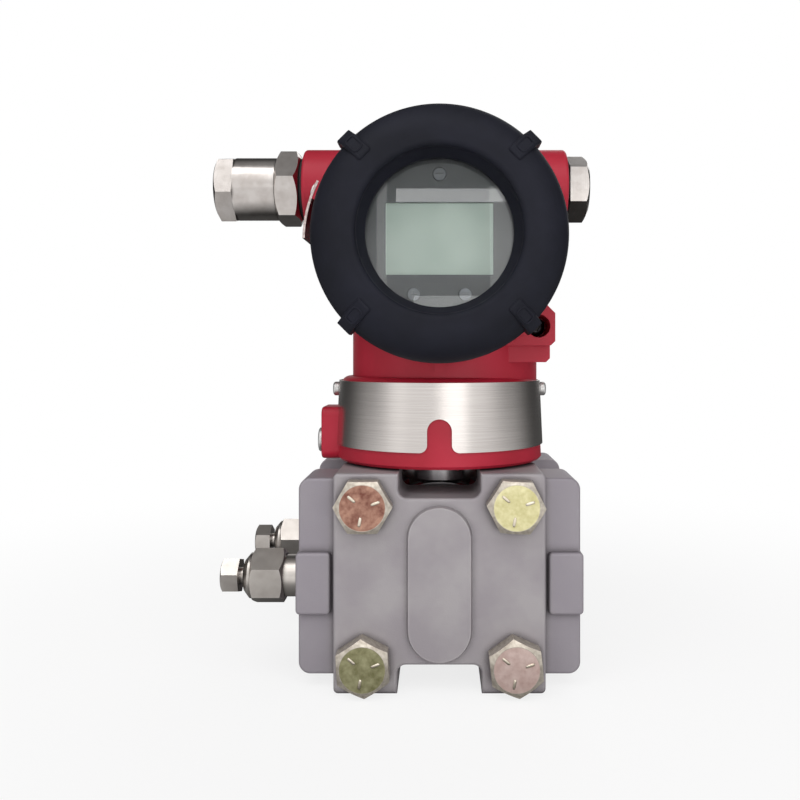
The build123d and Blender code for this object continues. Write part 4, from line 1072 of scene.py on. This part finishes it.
@dataclass
class Studio:
    """Floor, light and camera. Lengths are in metres."""

    floor_level: float
    neck_x: float = -0.048
    camera_distance: float = 0.315
    camera_height: float = 0.1141
    focal_pixels: float = 820.5
    centre_pixel: tuple[float, float] = (439.5, 352.0)
    sensor_mm: float = 36.0
    lamps: tuple[Softbox, ...] = SOFTBOXES
    floor_side: float = 8.0
    floor_colour: str = "#F2F2F2"
    # How white the floor shows, by distance, and how bright metal mirrors it, with a painted shadow
    # round the flanges, by distance, and painted shade that darkens it towards the back
    floor_fade: Step = (0.08, 0.4, 0.8, 1.0)
    floor_mirror_shadow: Step = (0.04, 0.2, 0.12, 1.0)
    floor_shade_behind: Step = (0.6, -0.5, 0.08, 1.0)
    # Brightness of the world at the sides and in front, both tilted up by a share of the height,
    # and behind. Its directions run from -1 to 1.
    sky_tilt: float = 0.25
    sky_sides: Step = (-0.5, 0.2, 0.05, 0.28)
    sky_front: Step = (0.2, 0.8, 0.0, 0.9)
    sky_behind: Step = (0.75, 0.97, 0.0, 0.5)
    # Dark patch round the camera: its sides, foot and head, and the share of light that it leaves
    patch_side: Step = (0.12, 0.18, 1.0, 0.0)
    patch_foot: Step = (0.12, 0.17, 0.0, 1.0)
    patch_head: Step = (0.36, 0.28, 0.0, 1.0)
    patch_light: float = 0.1

    def build(self) -> None:
        """Make the camera, the floor, the world and the lamps."""
        self.add_camera()
        self.add_floor()
        self.add_world()
        for lamp in self.lamps:
            lamp.build(Vector((self.neck_x, 0, self.floor_level)))

    def direct_view(self, tree: bpy.types.NodeTree) -> bpy.types.Node:
        """Mask of what the camera sees itself, straight or through the glass.

        Args:
            tree: Node tree that takes the nodes.

        Returns:
            The mask's node: 1 for a direct view, 0 for reflections and for light.
        """
        rays = add_node(tree, "ShaderNodeLightPath").outputs
        straight, through = rays["Is Camera Ray"], rays["Is Transmission Ray"]
        return add_node(tree, "ShaderNodeMath", (straight, through), operation="MAXIMUM")

    def add_floor(self) -> None:
        """Lay a pale floor under the flanges, which fades to the white background."""
        bpy.ops.mesh.primitive_plane_add(size=self.floor_side, location=(self.neck_x, 0, self.floor_level))
        floor = bpy.context.object
        floor.name = "studio_floor"
        material = bpy.data.materials.new("pale_floor")
        material.use_nodes = True
        tree = material.node_tree
        shader = tree.nodes["Principled BSDF"]
        feed(tree, shader, {"Base Color": self.floor_colour, "Roughness": 0.8})
        add = partial(add_node, tree)
        place = add("ShaderNodeTexCoord").outputs["Object"]
        reach = add("ShaderNodeVectorMath", (place,), operation="LENGTH")
        fade = add("ShaderNodeMapRange", (reach, *self.floor_fade), interpolation_type="SMOOTHSTEP")
        share = add("ShaderNodeMath", (fade, self.direct_view(tree)), operation="MULTIPLY")
        white = add("ShaderNodeEmission", ("#FFFFFF", 1.0))
        shown = add("ShaderNodeMixShader", (share, shader, white))
        # Painted shadow and shade in reflections: metal sees the floor darker round the flanges and behind
        # them
        depth = add("ShaderNodeSeparateXYZ", (place,)).outputs["Y"]
        way = add("ShaderNodeMath", (depth, reach), operation="DIVIDE")
        shade_behind = add("ShaderNodeMapRange", (way, *self.floor_shade_behind), interpolation_type="SMOOTHSTEP")
        painted_shadow = add("ShaderNodeMapRange", (reach, *self.floor_mirror_shadow), interpolation_type="SMOOTHSTEP")
        level = add("ShaderNodeMath", (painted_shadow, shade_behind), operation="MULTIPLY")
        mirrored = add("ShaderNodeEmission", ("#FFFFFF", level))
        glossy = add("ShaderNodeLightPath").outputs["Is Glossy Ray"]
        mix = add("ShaderNodeMixShader", (glossy, shown, mirrored))
        feed(tree, tree.nodes["Material Output"], {"Surface": mix})
        floor.data.materials.append(material)
        floor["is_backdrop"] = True

    def add_world(self) -> None:
        """White to the camera. To the rest, a soft studio: bright in front and overhead, falling off to
        both sides, with a pale wall far behind and a dark patch round the camera."""
        world = bpy.data.worlds.new("studio_world")
        bpy.context.scene.world = world
        world.use_nodes = True
        tree = world.node_tree
        add = partial(add_node, tree)
        way = add("ShaderNodeSeparateXYZ", (add("ShaderNodeTexCoord").outputs["Generated"],)).outputs
        lift = add("ShaderNodeMath", (way["Z"], self.sky_tilt), operation="MULTIPLY")
        tilted = add("ShaderNodeMath", (lift, way["Y"]), operation="SUBTRACT")
        aside = add("ShaderNodeMath", (way["X"],), operation="ABSOLUTE")
        sides, front, behind, narrow, foot, head = (
            add("ShaderNodeMapRange", step, interpolation_type="SMOOTHSTEP")
            for step in (
                (tilted, *self.sky_sides),
                (tilted, *self.sky_front),
                (way["Y"], *self.sky_behind),
                (aside, *self.patch_side),
                (way["Z"], *self.patch_foot),
                (way["Z"], *self.patch_head),
            )
        )
        raised = add("ShaderNodeMath", (foot, head), operation="MULTIPLY")
        patch = add("ShaderNodeMath", (narrow, raised), operation="MULTIPLY")
        left = add("ShaderNodeMapRange", (patch, 0.0, 1.0, 1.0, self.patch_light))
        room = add("ShaderNodeMath", (front, left, sides), operation="MULTIPLY_ADD")
        studio = add("ShaderNodeMath", (room, behind), operation="ADD")
        inputs = {0: self.direct_view(tree), 2: studio, 3: 1.0}
        strength = add("ShaderNodeMix", inputs, data_type="FLOAT")
        feed(tree, tree.nodes["Background"], {"Color": "#FFFFFF", "Strength": strength})

    def add_camera(self) -> None:
        """Stand a level camera where the photograph's stood, with its lens shifted."""
        data = bpy.data.cameras.new("photo_camera")
        data.sensor_width = self.sensor_mm
        data.lens = self.focal_pixels / PICTURE_SIDE * self.sensor_mm
        middle = PICTURE_SIDE / 2
        data.shift_x = (middle - self.centre_pixel[0]) / PICTURE_SIDE
        data.shift_y = (self.centre_pixel[1] - middle) / PICTURE_SIDE
        data.clip_start = 0.01
        camera = bpy.data.objects.new("photo_camera", data)
        camera.location = (self.neck_x, -self.camera_distance, self.floor_level + self.camera_height)
        camera.rotation_euler = (math.radians(90), 0, 0)
        bpy.context.scene.collection.objects.link(camera)
        bpy.context.scene.camera = camera


def main() -> None:
    """Build and dress every piece."""
    logging.basicConfig(level=logging.INFO, format="%(name)s: %(message)s")
    cad_box = [list(corner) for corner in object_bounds()]
    bpy.context.scene.view_settings.view_transform = "Standard"
    Studio(floor_level=cad_box[0][2]).build()
    PackedPieces(NODE_FINISHES).dress()
    for detail in (
        StrengthMarks("bolt_strength_marks", "flange_bolts", MARK_ZINC),
        BoltThreads("bolt_end_threads", "flange_bolts"),
        PortThreads("front_port_threads", "front_flange"),
        PortThreads("rear_port_threads", "rear_flange"),
        LugMarks("front_lug_marks", "front_cover"),
        LugMarks("rear_lug_marks", "rear_cover"),
    ):
        detail.build()


if __name__ == "__main__":
    main()
